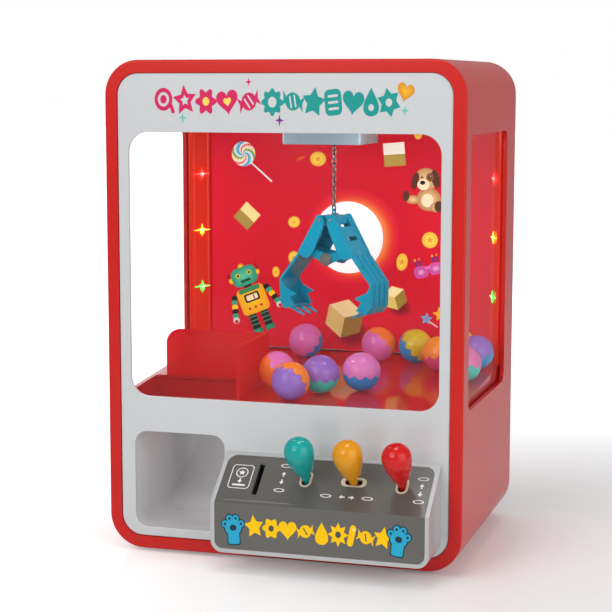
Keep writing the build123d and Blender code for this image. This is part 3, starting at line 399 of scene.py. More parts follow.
def clear(name, colour, roughness, body, glow=0.0, mirrored=0.35):
    """Thin acrylic: part of the light meets the plastic's own colour, the rest passes through tinted, and a
    share that grows towards grazing angles is mirrored."""
    material, tree, shader, where = new_material(name)
    tree.links.new(shade(tree, colour, noise(tree, where, 0.03), 0.05), shader.inputs["Base Color"])
    shader.inputs["Specular IOR Level"].default_value = 0.0
    # glow is an even emission in the acrylic's own colour: painted light
    shader.inputs["Emission Color"].default_value = (*colour, 1)
    shader.inputs["Emission Strength"].default_value = glow
    wipe = noise(tree, where, 0.05, 5.0)
    polish = spread(tree, wipe, roughness * 0.6, roughness * 1.4)
    through = tree.nodes.new("ShaderNodeBsdfTransparent")
    through.inputs["Color"].default_value = (*colour, 1)
    inner = tree.nodes.new("ShaderNodeMixShader")
    inner.inputs["Fac"].default_value = body
    tree.links.new(through.outputs["BSDF"], inner.inputs[1])
    tree.links.new(shader.outputs["BSDF"], inner.inputs[2])
    mirror = tree.nodes.new("ShaderNodeBsdfGlossy")
    tree.links.new(polish, mirror.inputs["Roughness"])
    facing = tree.nodes.new("ShaderNodeLayerWeight")
    facing.inputs["Blend"].default_value = 0.5
    steep = tree.nodes.new("ShaderNodeMath")
    steep.operation = "POWER"
    steep.inputs[1].default_value = 5.0
    tree.links.new(facing.outputs["Facing"], steep.inputs[0])
    edge = tree.nodes.new("ShaderNodeMath")
    edge.operation = "MULTIPLY_ADD"
    edge.inputs[1].default_value = mirrored
    edge.inputs[2].default_value = 0.012
    tree.links.new(steep.outputs["Value"], edge.inputs[0])
    outer = tree.nodes.new("ShaderNodeMixShader")
    tree.links.new(edge.outputs["Value"], outer.inputs["Fac"])
    tree.links.new(inner.outputs["Shader"], outer.inputs[1])
    tree.links.new(mirror.outputs["BSDF"], outer.inputs[2])
    tree.links.new(outer.outputs["Shader"], tree.nodes["Material Output"].inputs["Surface"])
    return material


def coat_node(material, *names):
    """Gives CAD nodes a material, in every one of their slots."""
    for name in names:
        mesh_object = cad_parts[name]
        mesh_object.data.materials.clear()
        mesh_object.data.materials.append(material)


# ---- settings ------------------------------------------------------------------------------
def colour_property(name, about, code):
    """A colour setting with its default."""
    return FloatVectorProperty(name=name, description=about, subtype="COLOR", size=3, min=0, max=1,
                               default=linear(code))


class ClawMachineColours(bpy.types.PropertyGroup):
    """Colours of the machine's finishes"""
    case: colour_property("Case", "Glossy moulded case", "#C8201B")
    fascia: colour_property("Fascia", "Front plate and console", "#C9CBCD")
    floor: colour_property("Floor", "Playfield floor and funnel", "#B01417")
    label: colour_property("Label", "Plate over the console", "#5C5A56")
    claw: colour_property("Claw", "Claw, its links and its head", "#0C9BBC")
    carriage: colour_property("Carriage", "Carriage and bridge", "#93A8B3")
    teal: colour_property("Teal knob", "Left lever", "#0F9C98")
    yellow: colour_property("Yellow knob", "Middle lever", "#DE9412")
    red: colour_property("Red knob", "Right lever", "#CC1616")
    card: colour_property("Backdrop", "Printed card behind the play area", "#D01029")


class ClawMachineSizes(bpy.types.PropertyGroup):
    """Sizes of the pieces that are modelled here"""
    waves: IntProperty(name="Capsule waves", description="Scallops round a capsule's seam", default=11,
                       min=3)
    wave_height: FloatProperty(name="Wave height", description="Height of a scallop", default=0.0016,
                               min=0.0, subtype="DISTANCE", unit="LENGTH")
    wire: FloatProperty(name="Chain wire", description="Radius of the chain's wire", default=0.0006,
                        min=0.0001, subtype="DISTANCE", unit="LENGTH")
    # a lamp's longest points are its two thin streaks, which are painted glare
    lamp: FloatProperty(name="Lamp star", description="Reach of a lamp's longest points", default=0.0092,
                        min=0.001, subtype="DISTANCE", unit="LENGTH")


# ---- pieces --------------------------------------------------------------------------------
class CaseFinish(bpy.types.Operator):
    """Finishes the case, the fascia, the covers, the windows and the feet"""
    bl_idname = "claw_machine.case_finish"
    bl_label = "Case, covers and windows"

    def execute(self, context):
        tone = context.scene.claw_machine_colours
        red = plastic("case_gloss_red", tuple(tone.case), 0.24, 0.0014, specular=0.22)
        coat_node(red, "main_case")
        # painted glow: the columns give off an even light of their own red, though only their star lenses
        # are lamps
        columns = plastic("column_red_painted_glow", linear("#DC2A14"), 0.24, 0.0012, mottle=0.04, specular=0.3,
                          glow=0.25)
        coat_node(columns, "light_columns")
        cover = plastic("cover_textured_red", linear("#B3201F"), 0.42, 0.0007, 0.00003, 0.05)
        coat_node(cover, "rear_cover", "rear_hatch", "battery_door")
        satin = plastic("fascia_satin_grey", tuple(tone.fascia), 0.17, 0.0008, mottle=0.015, specular=0.7)
        coat_node(satin, "front_fascia")
        # a darker grey than the fascia: partly the console's own grey, partly painted shade taken from its
        # shaded faces
        console = plastic("console_grey_with_painted_shade", linear("#B4B5B6"), 0.2, 0.0008, mottle=0.015)
        coat_node(console, "console_housing")
        coat_node(clear("clear_pane", linear("#FDFEFE"), 0.02, 0.0), "front_window")
        coat_node(clear("side_pane", linear("#FDFEFE"), 0.02, 0.0, mirrored=0.12), "side_windows")
        coat_node(plastic("foot_rubber", linear("#A82C27"), 0.6, 0.0009, 0.00004, 0.08), "rubber_feet")
        return {"FINISHED"}


class PlayAreaFinish(bpy.types.Operator):
    """Finishes the floor, the fence, the funnel and the prize bin"""
    bl_idname = "claw_machine.play_area_finish"
    bl_label = "Floor, fence, funnel and bin"

    def execute(self, context):
        tone = context.scene.claw_machine_colours
        # painted glow: the floor and funnel give off an even light of their own red, on top of the light
        # that reaches them
        floor = plastic("floor_mirror_red_painted_glow", tuple(tone.floor), 0.06, 0.004, mottle=0.03, specular=0.3,
                        glow=0.18)
        coat_node(floor, "playfield_floor", "chute_funnel")
        # painted glow: the fence gives off an even red light
        coat_node(clear("fence_acrylic_painted_glow", linear("#E2101A"), 0.03, 0.6, glow=0.18), "chute_fence")
        # painted glow: a faint even light lifts the bin's grey
        bin_gloss = plastic("bin_gloss_grey_painted_glow", linear("#D6D8D9"), 0.14, 0.003, coat=0.5, glow=0.04)
        coat_node(bin_gloss, "prize_bin")
        return {"FINISHED"}


class MechanismFinish(bpy.types.Operator):
    """Finishes the crane's drive, the electrics and the lever and coin mechanisms"""
    bl_idname = "claw_machine.mechanism_finish"
    bl_label = "Drive, electrics and coin parts"

    def execute(self, context):
        tone = context.scene.claw_machine_colours
        coat_node(plastic("carriage_satin", tuple(tone.carriage), 0.28, 0.0009, mottle=0.03),
                  "bridge_beam", "carriage_housing")
        coat_node(plastic("gear_nylon", linear("#ECE8DC"), 0.4, 0.0009, 0.00002, 0.05),
                  "side_rails", "motor_pinion", "shaft_gears", "carriage_pinion", "winch_drum")
        coat_node(metal("turned_steel", linear("#B9BCC0"), 0.25), "drive_shaft", "case_screws",
                  "hatch_pins", "lever_pins", "lever_springs", "jaw_pins")
        coat_node(metal("motor_can", linear("#A9ACB0"), 0.34), "bridge_motor", "carriage_motor",
                  "winch_motor")
        coat_node(plastic("inner_grey", linear("#37393D"), 0.45, 0.0008, 0.00003, 0.1), "coin_chute",
                  "coin_tray", "coin_flap", "lever_frame", "switch_bodies", "speaker", "battery_box",
                  "power_switch")
        coat_node(plastic("board_laminate", linear("#1C5B38"), 0.3, 0.001, 0.00001, 0.12, coat=0.3),
                  "control_board", "led_boards")
        coat_node(plastic("cell_jacket", linear("#C7992A"), 0.25, 0.002, 0.00001, 0.1, coat=0.4),
                  "batteries")
        coat_node(plastic("wire_jacket", linear("#B3282A"), 0.4, 0.001, 0.00002, 0.1), "wiring_loom")
        coat_node(plastic("guide_beige", linear("#CBBE9F"), 0.4, 0.0008, 0.00002, 0.06), "slot_plates")
        return {"FINISHED"}


class Claw(bpy.types.Operator):
    """Finishes the claw's head, jaws, links and weight"""
    bl_idname = "claw_machine.claw"
    bl_label = "Claw"

    def execute(self, context):
        tone = context.scene.claw_machine_colours
        cyan = plastic("claw_gloss_cyan", tuple(tone.claw), 0.26, 0.0012, 0.000006, 0.04, specular=0.22)
        coat_node(cyan, "claw_head", "jaw_right", "jaw_left", "links_right", "links_left")
        coat_node(metal("weight_steel", linear("#8D8A84"), 0.38, (1, 1, 1), 0.0015), "weight_pin")
        return {"FINISHED"}


class Chain(bpy.types.Operator):
    """Hangs the plated chain between the winch and the claw, and finishes the chain wound on the drum"""
    bl_idname = "claw_machine.chain"
    bl_label = "Chain"

    def links(self, build, wire):
        """Stadium-shaped wire rings, every second one turned by a quarter: a ring's path is a circle
        split in two and drawn apart by the straight length."""
        turn = np.linspace(0, 2 * np.pi, 20, endpoint=False) + np.pi / 20
        bend = wire * 2.4
        reach = CHAIN_PITCH / 2 + wire - bend
        flat = bend * np.cos(turn)
        tall = bend * np.sin(turn) + np.sign(np.sin(turn)) * reach
        for number in range(CHAIN_LINKS):
            angle = CLAW_YAW + (number % 2) * np.pi / 2
            path = np.stack([CLAW_X + flat * np.cos(angle), CLAW_Y + flat * np.sin(angle),
                             CHAIN_LOW + number * CHAIN_PITCH + tall], axis=1)
            build.tube(at(path[:, 0], path[:, 1], path[:, 2]), wire * MM, 8, closed=True)

    def execute(self, context):
        sizes = context.scene.claw_machine_sizes
        wire = sizes.wire / MM
        steel = metal("chain_steel", linear("#8F8D8C"), 0.24, (1, 1, 1), 0.0012)
        hanging = Build()
        self.links(hanging, wire)
        piece = hanging.make("hanging_chain", steel, "claw", "chain_steel", sharp=80)
        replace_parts(piece, "lift_chain")
        coat_node(steel, "wound_chain")
        return {"FINISHED"}


class Knobs(bpy.types.Operator):
    """Turns the three pear-shaped lever knobs"""
    bl_idname = "claw_machine.knobs"
    bl_label = "Lever knobs"

    def profile(self):
        """Radius against height above the pivot: stem and collar, then a power of a sine that swells from
        the bulb's foot to its widest place, then a quarter ellipse over the top."""
        stem_z = np.array([-12.0, -12.0, -5.2, -3.4, 3.4, 5.4, 15.3, 15.5, 24.0, 24.2, 24.4])
        stem_r = np.array([0.05, 2.4, 2.4, 4.6, 4.6, 2.6, 2.6, 3.4, 3.5, 3.7, 6.6])
        grow = np.linspace(0, 1, 24)
        lower_z = 24.7 + 20.3 * grow
        lower_r = 6.9 + 3.9 * np.sin(grow * np.pi / 2) ** 1.15
        close = np.linspace(0, np.pi / 2, 20)[1:]
        upper_z = 45.0 + 10.4 * np.sin(close)
        upper_r = 10.8 * np.cos(close) + 0.02
        return np.concatenate([stem_r, lower_r, upper_r]), np.concatenate([stem_z, lower_z, upper_z])

    def execute(self, context):
        tone = context.scene.claw_machine_colours
        radius, height = self.profile()
        turn = np.linspace(0, 2 * np.pi, 56, endpoint=False)
        for name, x, colour in zip(("teal", "yellow", "red"), LEVER_X, (tone.teal, tone.yellow, tone.red)):
            build = Build()
            pivot = np.array([x, *LEVER_PIVOT])
            place = pivot + height[:, None, None] * SLOPE_OUT
            place = place + radius[:, None, None] * (np.cos(turn)[None, :, None] * np.array([1.0, 0, 0])
                                                     - np.sin(turn)[None, :, None] * SLOPE_DOWN)
            build.grid(at(place[..., 0], place[..., 1], place[..., 2]), ends=True)
            gloss = plastic(name + "_knob_gloss", tuple(colour), 0.12, 0.0025, specular=0.35)
            piece = build.make("knob_" + name, gloss, name + "_lever", "knob_" + name)
            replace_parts(piece, "lever_" + name)
        return {"FINISHED"}


# each capsule: x and y on the floor, radius, the way its upper half faces, upper and lower colour
CAPSULES = (
    (1.5, 20.0, 14.6, (0.30, 0.80, 0.52), "#EE7B22", "#8F62B4"),
    (17.5, 46.0, 14.6, (0.10, -0.15, 0.98), "#9163B6", "#3FBFAE"),
    (-20.2, 55.0, 14.2, (0.90, 0.20, 0.38), "#DC6FB4", "#F47B25"),
    (46.0, 59.5, 14.8, (0.05, -0.10, 0.99), "#D977B8", "#2F86C8"),
    (-28.0, 159.0, 14.2, (-0.45, -0.70, 0.55), "#D768AE", "#3C7FC0"),
    (34.0, 158.5, 14.1, (0.45, 0.70, 0.55), "#F0762A", "#D768AE"),
    (65.0, 158.5, 13.9, (0.75, -0.10, 0.60), "#D9B92C", "#3A8AC6"),
    (90.5, 135.0, 14.1, (-0.10, 0.00, 0.99), "#F08A2A", "#D9477E"),
    (99.0, 168.0, 13.9, (0.20, 0.20, 0.95), "#E3C234", "#3FB08A"),
    (118.0, 146.0, 13.9, (-0.20, -0.20, 0.95), "#9163B6", "#3A8AC6"),
    (116.0, 103.0, 14.2, (0.10, 0.20, 0.97), "#DB6FA6", "#3FBFAE"),
)
CAPSULE_TURNS = 88
CAPSULE_ROWS = 22
CAPSULE_LIP_ROWS = 6
CAPSULE_POLE = 0.015
# each air hole: degrees off the capsule's axis, and round it
CAPSULE_HOLES = ((34.0, 20.0), (58.0, 150.0), (46.0, 265.0))


class Capsules(bpy.types.Operator):
    """Makes the two-colour prize capsules with their scalloped seams, and their air holes as dark discs of
    painted shade
    """
    bl_idname = "claw_machine.capsules"
    bl_label = "Prize capsules"

    def ball(self, centre, axes, radius, polar, turn):
        """Points on a sphere from the angle off its axis and the turn round it."""
        off = np.sin(polar)
        local = np.stack([off * np.cos(turn), off * np.sin(turn), np.cos(polar)], -1)
        place = centre + radius[..., None] * (local @ axes)
        return at(place[..., 0], place[..., 1], place[..., 2])

    def upper_half(self, radius, turn, phase, sizes):
        """Angles and radii of rows from the pole out to the seam, over its lip and a short way back inside.
        The seam lies just past a right angle, plus the size of a sine: one scallop for each wave."""
        share = np.linspace(0, 1, CAPSULE_ROWS)[:, None]
        wave = np.abs(np.sin(turn * sizes.waves / 2 + phase)) - 0.55
        seam = np.pi / 2 + 0.06 + wave * sizes.wave_height / MM / radius * 2
        outer = CAPSULE_POLE + share * (seam - CAPSULE_POLE)
        inner = seam - share[:CAPSULE_LIP_ROWS] * 0.25
        reach = np.concatenate([np.full(CAPSULE_ROWS, radius), [radius - 0.12],
                                np.full(CAPSULE_LIP_ROWS, radius - 0.42)])
        return np.concatenate([outer, inner[:1], inner]), reach[:, None] * np.ones(CAPSULE_TURNS)

    def lower_half(self, radius):
        """Angles and radii of rows from the lower pole to just past a right angle, so that the plain lower
        shell ends inside the upper one."""
        share = np.linspace(0, 1, CAPSULE_ROWS)[:, None]
        polar = (np.pi - CAPSULE_POLE - share * (np.pi / 2 + 0.1)) * np.ones(CAPSULE_TURNS)
        return polar, np.full(polar.shape, radius - 0.22)

    def execute(self, context):
        sizes = context.scene.claw_machine_sizes
        upper, lower, holes = Build(), Build(), Build()
        turn = np.linspace(0, 2 * np.pi, CAPSULE_TURNS, endpoint=False)
        for number, (x, y, radius, facing, top, bottom) in enumerate(CAPSULES):
            rise = radius * math.sqrt(1 + FLOOR_RISE ** 2)
            centre = np.array([x, y, FLOOR_Z + FLOOR_RISE * y + rise + 0.05])
            third = np.array(facing) / np.linalg.norm(facing)
            first = np.cross([0.0, 1.0, 0.2 * number], third)
            first /= np.linalg.norm(first)
            axes = np.stack([first, np.cross(third, first), third])
            polar, reach = self.upper_half(radius, turn, number, sizes)
            upper.grid(self.ball(centre, axes, reach, polar, turn), linear(top), ends=True)
            polar, reach = self.lower_half(radius)
            lower.grid(self.ball(centre, axes, reach, polar, turn), linear(bottom), ends=True)
            for tilt, way in CAPSULE_HOLES:
                self.hole(holes, centre, axes, radius, math.radians(tilt), math.radians(way + 40 * number))
        # painted glow: the capsules give off a faint even light in their own colours
        gloss = plastic("capsule_gloss_painted_glow", None, 0.2, 0.003, mottle=0.03, specular=0.35, glow=0.1)
        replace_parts(upper.make("capsule_tops", gloss, "root", "capsule_upper"), "capsule_upper_halves")
        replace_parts(lower.make("capsule_bases", gloss, "root", "capsule_lower"), "capsule_lower_halves")
        # painted shade: the air holes' dark insides are dark discs, not openings
        dark = plastic("air_hole_painted_shade", linear("#2A1420"), 0.7)
        holes.make("capsule_air_holes", dark, "root", "capsule_upper")
        return {"FINISHED"}

    def hole(self, build, centre, axes, radius, tilt, way):
        """A dark button 1.2 mm across that stands just proud of the shell round a tilted direction: painted
        shade for an air hole's dark inside.
        """
        off = math.sin(tilt)
        out = np.array([off * math.cos(way), off * math.sin(way), math.cos(tilt)]) @ axes
        side = np.cross(out, [0.3, 0.9, 0.1])
        side /= np.linalg.norm(side)
        other = np.cross(out, side)
        turn = np.linspace(0, 2 * np.pi, 14, endpoint=False)
        ring = np.cos(turn)[:, None] * side + np.sin(turn)[:, None] * other
        rows = [centre + out * (radius - 0.3) + ring * 0.62, centre + out * (radius + 0.015) + ring * 0.62,
                centre + out * (radius - 0.1) + ring * 0.3]
        place = np.stack(rows)
        build.grid(at(place[..., 0], place[..., 1], place[..., 2]), ends=True)


class Lamps(bpy.types.Operator):
    """Makes the glowing star lamps on the corner columns, each with two painted glare streaks and a painted
    white glint
    """
    bl_idname = "claw_machine.lamps"
    bl_label = "Star lamps"

    def execute(self, context):
        reach = context.scene.claw_machine_sizes.lamp / MM
        lamps = zip(("red", "yellow", "green"), ("#FF2A1A", "#FFC21A", "#35E03A"), LIGHT_Z)
        low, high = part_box("star_lenses")
        middle_y = ((low.y + high.y) / 2 - ORIGIN[1]) / MM
        edge_x = (high.x - ORIGIN[0]) / MM
        across = np.array(COLUMN_FACE) / np.linalg.norm(COLUMN_FACE)
        inward = np.array([across[1], -across[0], 0.0])
        for name, code, z in lamps:
            build = Build()
            for side in (-1, 1):
                centre = np.array([side * (edge_x - LENS_INSET), middle_y, z])
                mirror = np.array([side, 1, 1])
                # the two thin ellipses are painted glare streaks across and up the lens; the star and the
                # small disc are the lens
                for flat in (circle(reach * 0.06, wide=17.0), circle(reach * 0.55, wide=0.08),
                             star(reach * 0.42, reach * 0.2, 5), circle(reach * 0.2)):
                    self.star_lens(build, centre, across * mirror, inward * mirror, flat, linear(code))
            glow = plastic("lamp_glow_and_painted_glare_" + name, None, 0.3, 0.001, glow=3.0)
            piece = build.make("lamp_" + name, glow, "root", "lamp_lens")
            # the first of the three stands for the one node that holds all six lenses
            if name == "red":
                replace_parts(piece, "star_lenses")
        return {"FINISHED"}

    def star_lens(self, build, centre, across, inward, flat, colour):
        """A low pyramid on a star outline, coloured at the face, with a painted white glint at its raised
        middle.
        """
        up = np.array([0.0, 0.0, 1.0])
        rim = centre + flat[:, :1] * across + flat[:, 1:] * up
        away = rim - centre
        rows = np.stack([rim - 0.2 * inward, rim + 0.3 * inward, centre + 0.3 * away + 1.1 * inward,
                         centre + 0.05 * away + 1.3 * inward])
        # painted glint: the tint runs from the lamp's colour to white at the middle
        tints = np.array([colour, colour, 0.7 * np.array(colour) + 0.12, (1, 1, 1)])
        tint = tints[:, None] * np.ones((1, len(flat), 1))
        build.grid(at(rows[..., 0], rows[..., 1], rows[..., 2]), tint, ends=True)


class ConsoleDress(bpy.types.Operator):
    """Finishes the label plate and prints its pictures and arrows"""
    bl_idname = "claw_machine.console_dress"
    bl_label = "Console label and prints"

    def execute(self, context):
        tone = context.scene.claw_machine_colours
        label = plastic("label_satin", tuple(tone.label), 0.16, 0.0016, mottle=0.03)
        coat_node(label, "console_label")
        self.ridge(label)
        ink = plastic("label_ink", None, 0.4, 0.002, specular=0.2)
        top = np.array([0.0, 0.0, CONSOLE_TOP]) - LABEL_RECESS * SLOPE_OUT
        slope = Print(top, (1, 0, 0), -SLOPE_DOWN, SLOPE_OUT)
        self.slope_print(slope)
        tall = 1.15
        base = (0, LABEL_RECESS - CONSOLE_OUT, MOTIF_Z * (1 - tall))
        front = Print(base, (1, 0, 0), (0, 0, tall), (0, -1, 0))
        self.front_print(front)
        slope.build.make("console_pictograms", ink, "root", "label_dark")
        front.build.make("console_motifs", ink, "root", "label_dark")
        return {"FINISHED"}

    def ridge(self, material):
        """A long low bead across the slope above the fold: a straight tube, mostly sunk, whose radius
        closes at each end as the square root of the distance to it."""
        build = Build()
        along = np.linspace(0, 1, 25)
        middle = np.array([0.0, 0.0, CONSOLE_TOP]) + BEAD_S * SLOPE_DOWN - BEAD_SINK * SLOPE_OUT
        x = BEAD_X[0] + (BEAD_X[1] - BEAD_X[0]) * along
        path = middle + x[:, None] * np.array([1.0, 0, 0])
        radius = BEAD_RADIUS * np.clip(np.minimum(along, 1 - along) * 40, 0.05, 1) ** 0.5 * MM
        build.tube(at(path[:, 0], path[:, 1], path[:, 2]), radius, 20)
        build.make("label_bead", material, "root", "label_dark")

    def slope_print(self, ink):
        """The coin picture, three pairs of arrows and the ovals at their ends."""
        white = "#E9E9E7"
        frame_at = (-24.6, -23.4)
        ink.band(rounded(16.6, 22.4, 3.0, frame_at), rounded(15.4, 21.2, 2.4, frame_at), white)
        ink.band(circle(4.6, (-24.6, -19.6)), circle(3.9, (-24.6, -19.6)), white)
        ink.shape(star(2.7, 1.2, 5, (-24.6, -19.6)), white)
        ink.shape(rounded(10.0, 1.5, 0.7, (-24.6, -31.2)), white)
        ink.shape(turned(self.arrow((-24.6, -27.2)), 180, (-24.6, -27.2)), white)
        for x, s, turn_by in ((7.2, 18.6, 0), (7.2, 25.6, 180), (55.0, 35.6, 90), (62.0, 35.6, -90),
                              (111.2, 21.0, 0), (111.2, 28.0, 180)):
            ink.shape(turned(self.arrow((x, -s)), turn_by, (x, -s)), white)
        for x, s in ((7.2, 10.6), (7.2, 33.6), (111.2, 14.2), (111.2, 35.2)):
            ink.band(circle(1.7, (x, -s), 2.4), circle(1.2, (x, -s), 2.6), white)
        for x in (43.0, 74.0):
            ink.band(circle(1.6, (x, -35.6), 2.6), circle(1.1, (x, -35.6), 2.9), white)

    def arrow(self, centre):
        """A short thick arrow that points up."""
        x, y = centre
        return points((x - 0.55, y - 2.1), (x + 0.55, y - 2.1), (x + 0.55, y + 0.1), (x + 1.8, y + 0.1),
                      (x, y + 2.2), (x - 1.8, y + 0.1), (x - 0.55, y + 0.1))

    def front_print(self, ink):
        """A row of chunky yellow shapes between two paws."""
        yellow, pale = "#FFC800", "#FFE27A"
        z = MOTIF_Z
        ink.shape(turned(star(7.6, 3.9, 5, (-8.0, z + 1)), 8, (-8.0, z + 1)), yellow)
        ink.shape(lobed(5.9, 0.16, 6, (5.0, z + 0.6)), yellow)
        ink.shape(circle(2.0, (5.0, z + 0.6)), "#52504D")
        ink.shape(heart(13.4, (17.4, z)), yellow)
        self.sweet(ink, (30.8, z + 0.4), 12, yellow, "#52504D")
        ink.shape(drop(14.6, (43.0, z)), yellow)
        ink.shape(star(7.8, 4.6, 8, (55.2, z)), yellow)
        ink.shape(circle(2.1, (55.2, z)), "#52504D")
        ink.shape(turned(rounded(4.6, 14.0, 2.2, (65.2, z)), -14, (65.2, z)), yellow)
        ink.shape(circle(1.1, (66.8, z + 4.0)), pale)
        self.sweet(ink, (75.6, z - 0.4), -16, yellow, "#52504D")
        ink.shape(turned(star(7.4, 3.7, 5, (88.2, z)), -10, (88.2, z)), yellow)
        self.paw(ink, (-24.0, 31.6), 5)
        self.paw(ink, (99.6, 32.4), -8)

    def sweet(self, ink, centre, tilt, colour, stripe):
        """A wrapped sweet: a round body with a fan at each end."""
        x, z = centre
        for side in (-1, 1):
            fan = points((x + side * 2.6, z), (x + side * 6.6, z + 3.6), (x + side * 5.6, z),
                         (x + side * 6.6, z - 3.6))
            ink.shape(turned(fan, tilt, centre), colour)
        ink.shape(turned(circle(4.1, centre, 1.08), tilt, centre), colour)
        ink.shape(turned(rounded(1.0, 5.4, 0.45, centre), tilt + 24, centre), stripe)

    def paw(self, ink, centre, tilt):
        """A cuff, a round palm and four round toes, each over a dark edge."""
        x, z = centre
        dark, blue, pad = "#17303A", "#2AA6CC", "#1F3640"
        toes = ((-6.1, 3.2), (-2.3, 6.6), (2.5, 6.6), (6.2, 3.0))
        for grow, colour in ((0.7, dark), (0.0, blue)):
            cuff = rounded(8.6 + 2 * grow, 10.0 + 2 * grow, 1.6, (x, z - 5.0))
            ink.shape(turned(cuff, tilt, centre), colour)
            ink.shape(turned(circle(5.0 + grow, (x, z + 0.6), 1.24), tilt, centre), colour)
            for dx, dz in toes:
                ink.shape(turned(circle(2.3 + grow, (x + dx, z + dz), 1.05), tilt, centre), colour)
        ink.shape(turned(circle(2.0, (x, z + 0.6), 1.3), tilt, centre), pad)
        for dx, dz in toes:
            ink.shape(turned(circle(0.95, (x + dx, z + dz)), tilt, centre), pad)


class HeaderPrint(bpy.types.Operator):
    """Prints the row of sweets and stars over the window"""
    bl_idname = "claw_machine.header_print"
    bl_label = "Header print"

    def execute(self, context):
        ink = plastic("header_ink", None, 0.3, 0.002, specular=0.25)
        tall = 1.2
        base = (0, FASCIA_FRONT, HEADER_Z * (1 - tall))
        rows = Print(base, (1, 0, 0), (0, 0, tall), (0, -1, 0), height=0.03)
        grey = "#C9CBCD"
        self.left_group(rows, "#D0175A", grey)
        self.right_group(rows, "#0B948C", grey)
        rows.shape(turned(heart(12.5, (92.5, 345.0)), -14, (92.5, 345.0)), "#F0B429", edge="#D98A1A")
        for x, z, size, code in ((-0.7, 328.4, 3.6, "#7A1F8A"), (-75.5, 329.6, 3.4, "#6FC4AE"),
                                 (92.2, 334.6, 3.2, "#6FC4AE"), (-24.2, 351.4, 2.6, "#D0175A")):
            rows.shape(star(size, size * 0.3, 4, (x, z)), code)
        rows.build.make("header_motifs", ink, "root", "fascia_grey")
        return {"FINISHED"}

    def left_group(self, ink, colour, ground):
        """Five shapes in pink: a lollipop, a star, a flower, a heart and a wrapped sweet."""
        z = HEADER_Z
        ink.shape(turned(rounded(2.6, 9.0, 1.2, (-86.6, z - 5.4)), 24, (-90.4, z + 1.2)), colour)
        ink.shape(circle(7.0, (-90.4, z + 1.2)), colour)
        ink.band(circle(4.4, (-90.4, z + 1.2)), circle(2.6, (-90.4, z + 1.2)), ground)
        ink.shape(turned(star(9.6, 4.7, 5, (-73.6, z + 0.6)), 6, (-73.6, z)), colour)
        ink.shape(turned(star(3.6, 1.8, 5, (-73.6, z + 0.6)), 6, (-73.6, z)), ground)
        ink.shape(lobed(7.0, 0.2, 6, (-57.2, z)), colour)
        ink.shape(circle(2.6, (-57.2, z)), "#F4D35A")
        ink.shape(turned(heart(16.6, (-40.6, z - 0.6)), 8, (-40.6, z)), colour)
        ink.shape(turned(heart(6.0, (-40.6, z - 0.4)), 8, (-40.6, z)), "#F4D35A")
        self.sweet(ink, (-24.0, z), 18, colour, ground)

    def right_group(self, ink, colour, ground):
        """Seven shapes in teal, plump and close together."""
        z = HEADER_Z - 0.3
        ink.shape(lobed(7.4, 0.14, 8, (-6.2, z)), colour)
        ink.shape(circle(3.2, (-6.2, z)), ground)
        self.sweet(ink, (9.4, z + 0.4), -12, colour, ground)
        ink.shape(turned(star(9.2, 4.9, 5, (25.0, z)), -8, (25.0, z)), colour)
        ink.shape(turned(rounded(12.6, 15.6, 3.6, (39.6, z)), 6, (39.6, z)), colour)
        for dz in (-3.8, 0.0, 3.8):
            ink.shape(turned(rounded(7.6, 1.5, 0.7, (39.6, z + dz)), 6, (39.6, z)), ground)
        ink.shape(turned(heart(16.0, (54.4, z - 0.4)), -6, (54.4, z)), colour)
        ink.shape(drop(17.2, (67.6, z + 0.4)), colour)
        ink.shape(circle(2.0, (67.6, z - 3.0)), ground)
        ink.shape(turned(star(8.8, 5.4, 6, (80.6, z)), 12, (80.6, z)), colour)
        ink.shape(circle(2.4, (80.6, z)), ground)

    def sweet(self, ink, centre, tilt, colour, stripe):
        """A wrapped sweet: a round body with a fan at each end and two stripes."""
        x, z = centre
        for side in (-1, 1):
            fan = points((x + side * 3.4, z), (x + side * 8.6, z + 5.0), (x + side * 7.2, z),
                         (x + side * 8.6, z - 5.0))
            ink.shape(turned(fan, tilt, centre), colour)
        ink.shape(turned(circle(5.4, centre, 1.06), tilt, centre), colour)
        for shift in (-1.8, 1.6):
            ink.shape(turned(rounded(1.1, 7.4, 0.5, (x + shift, z)), tilt + 22, centre), stripe)


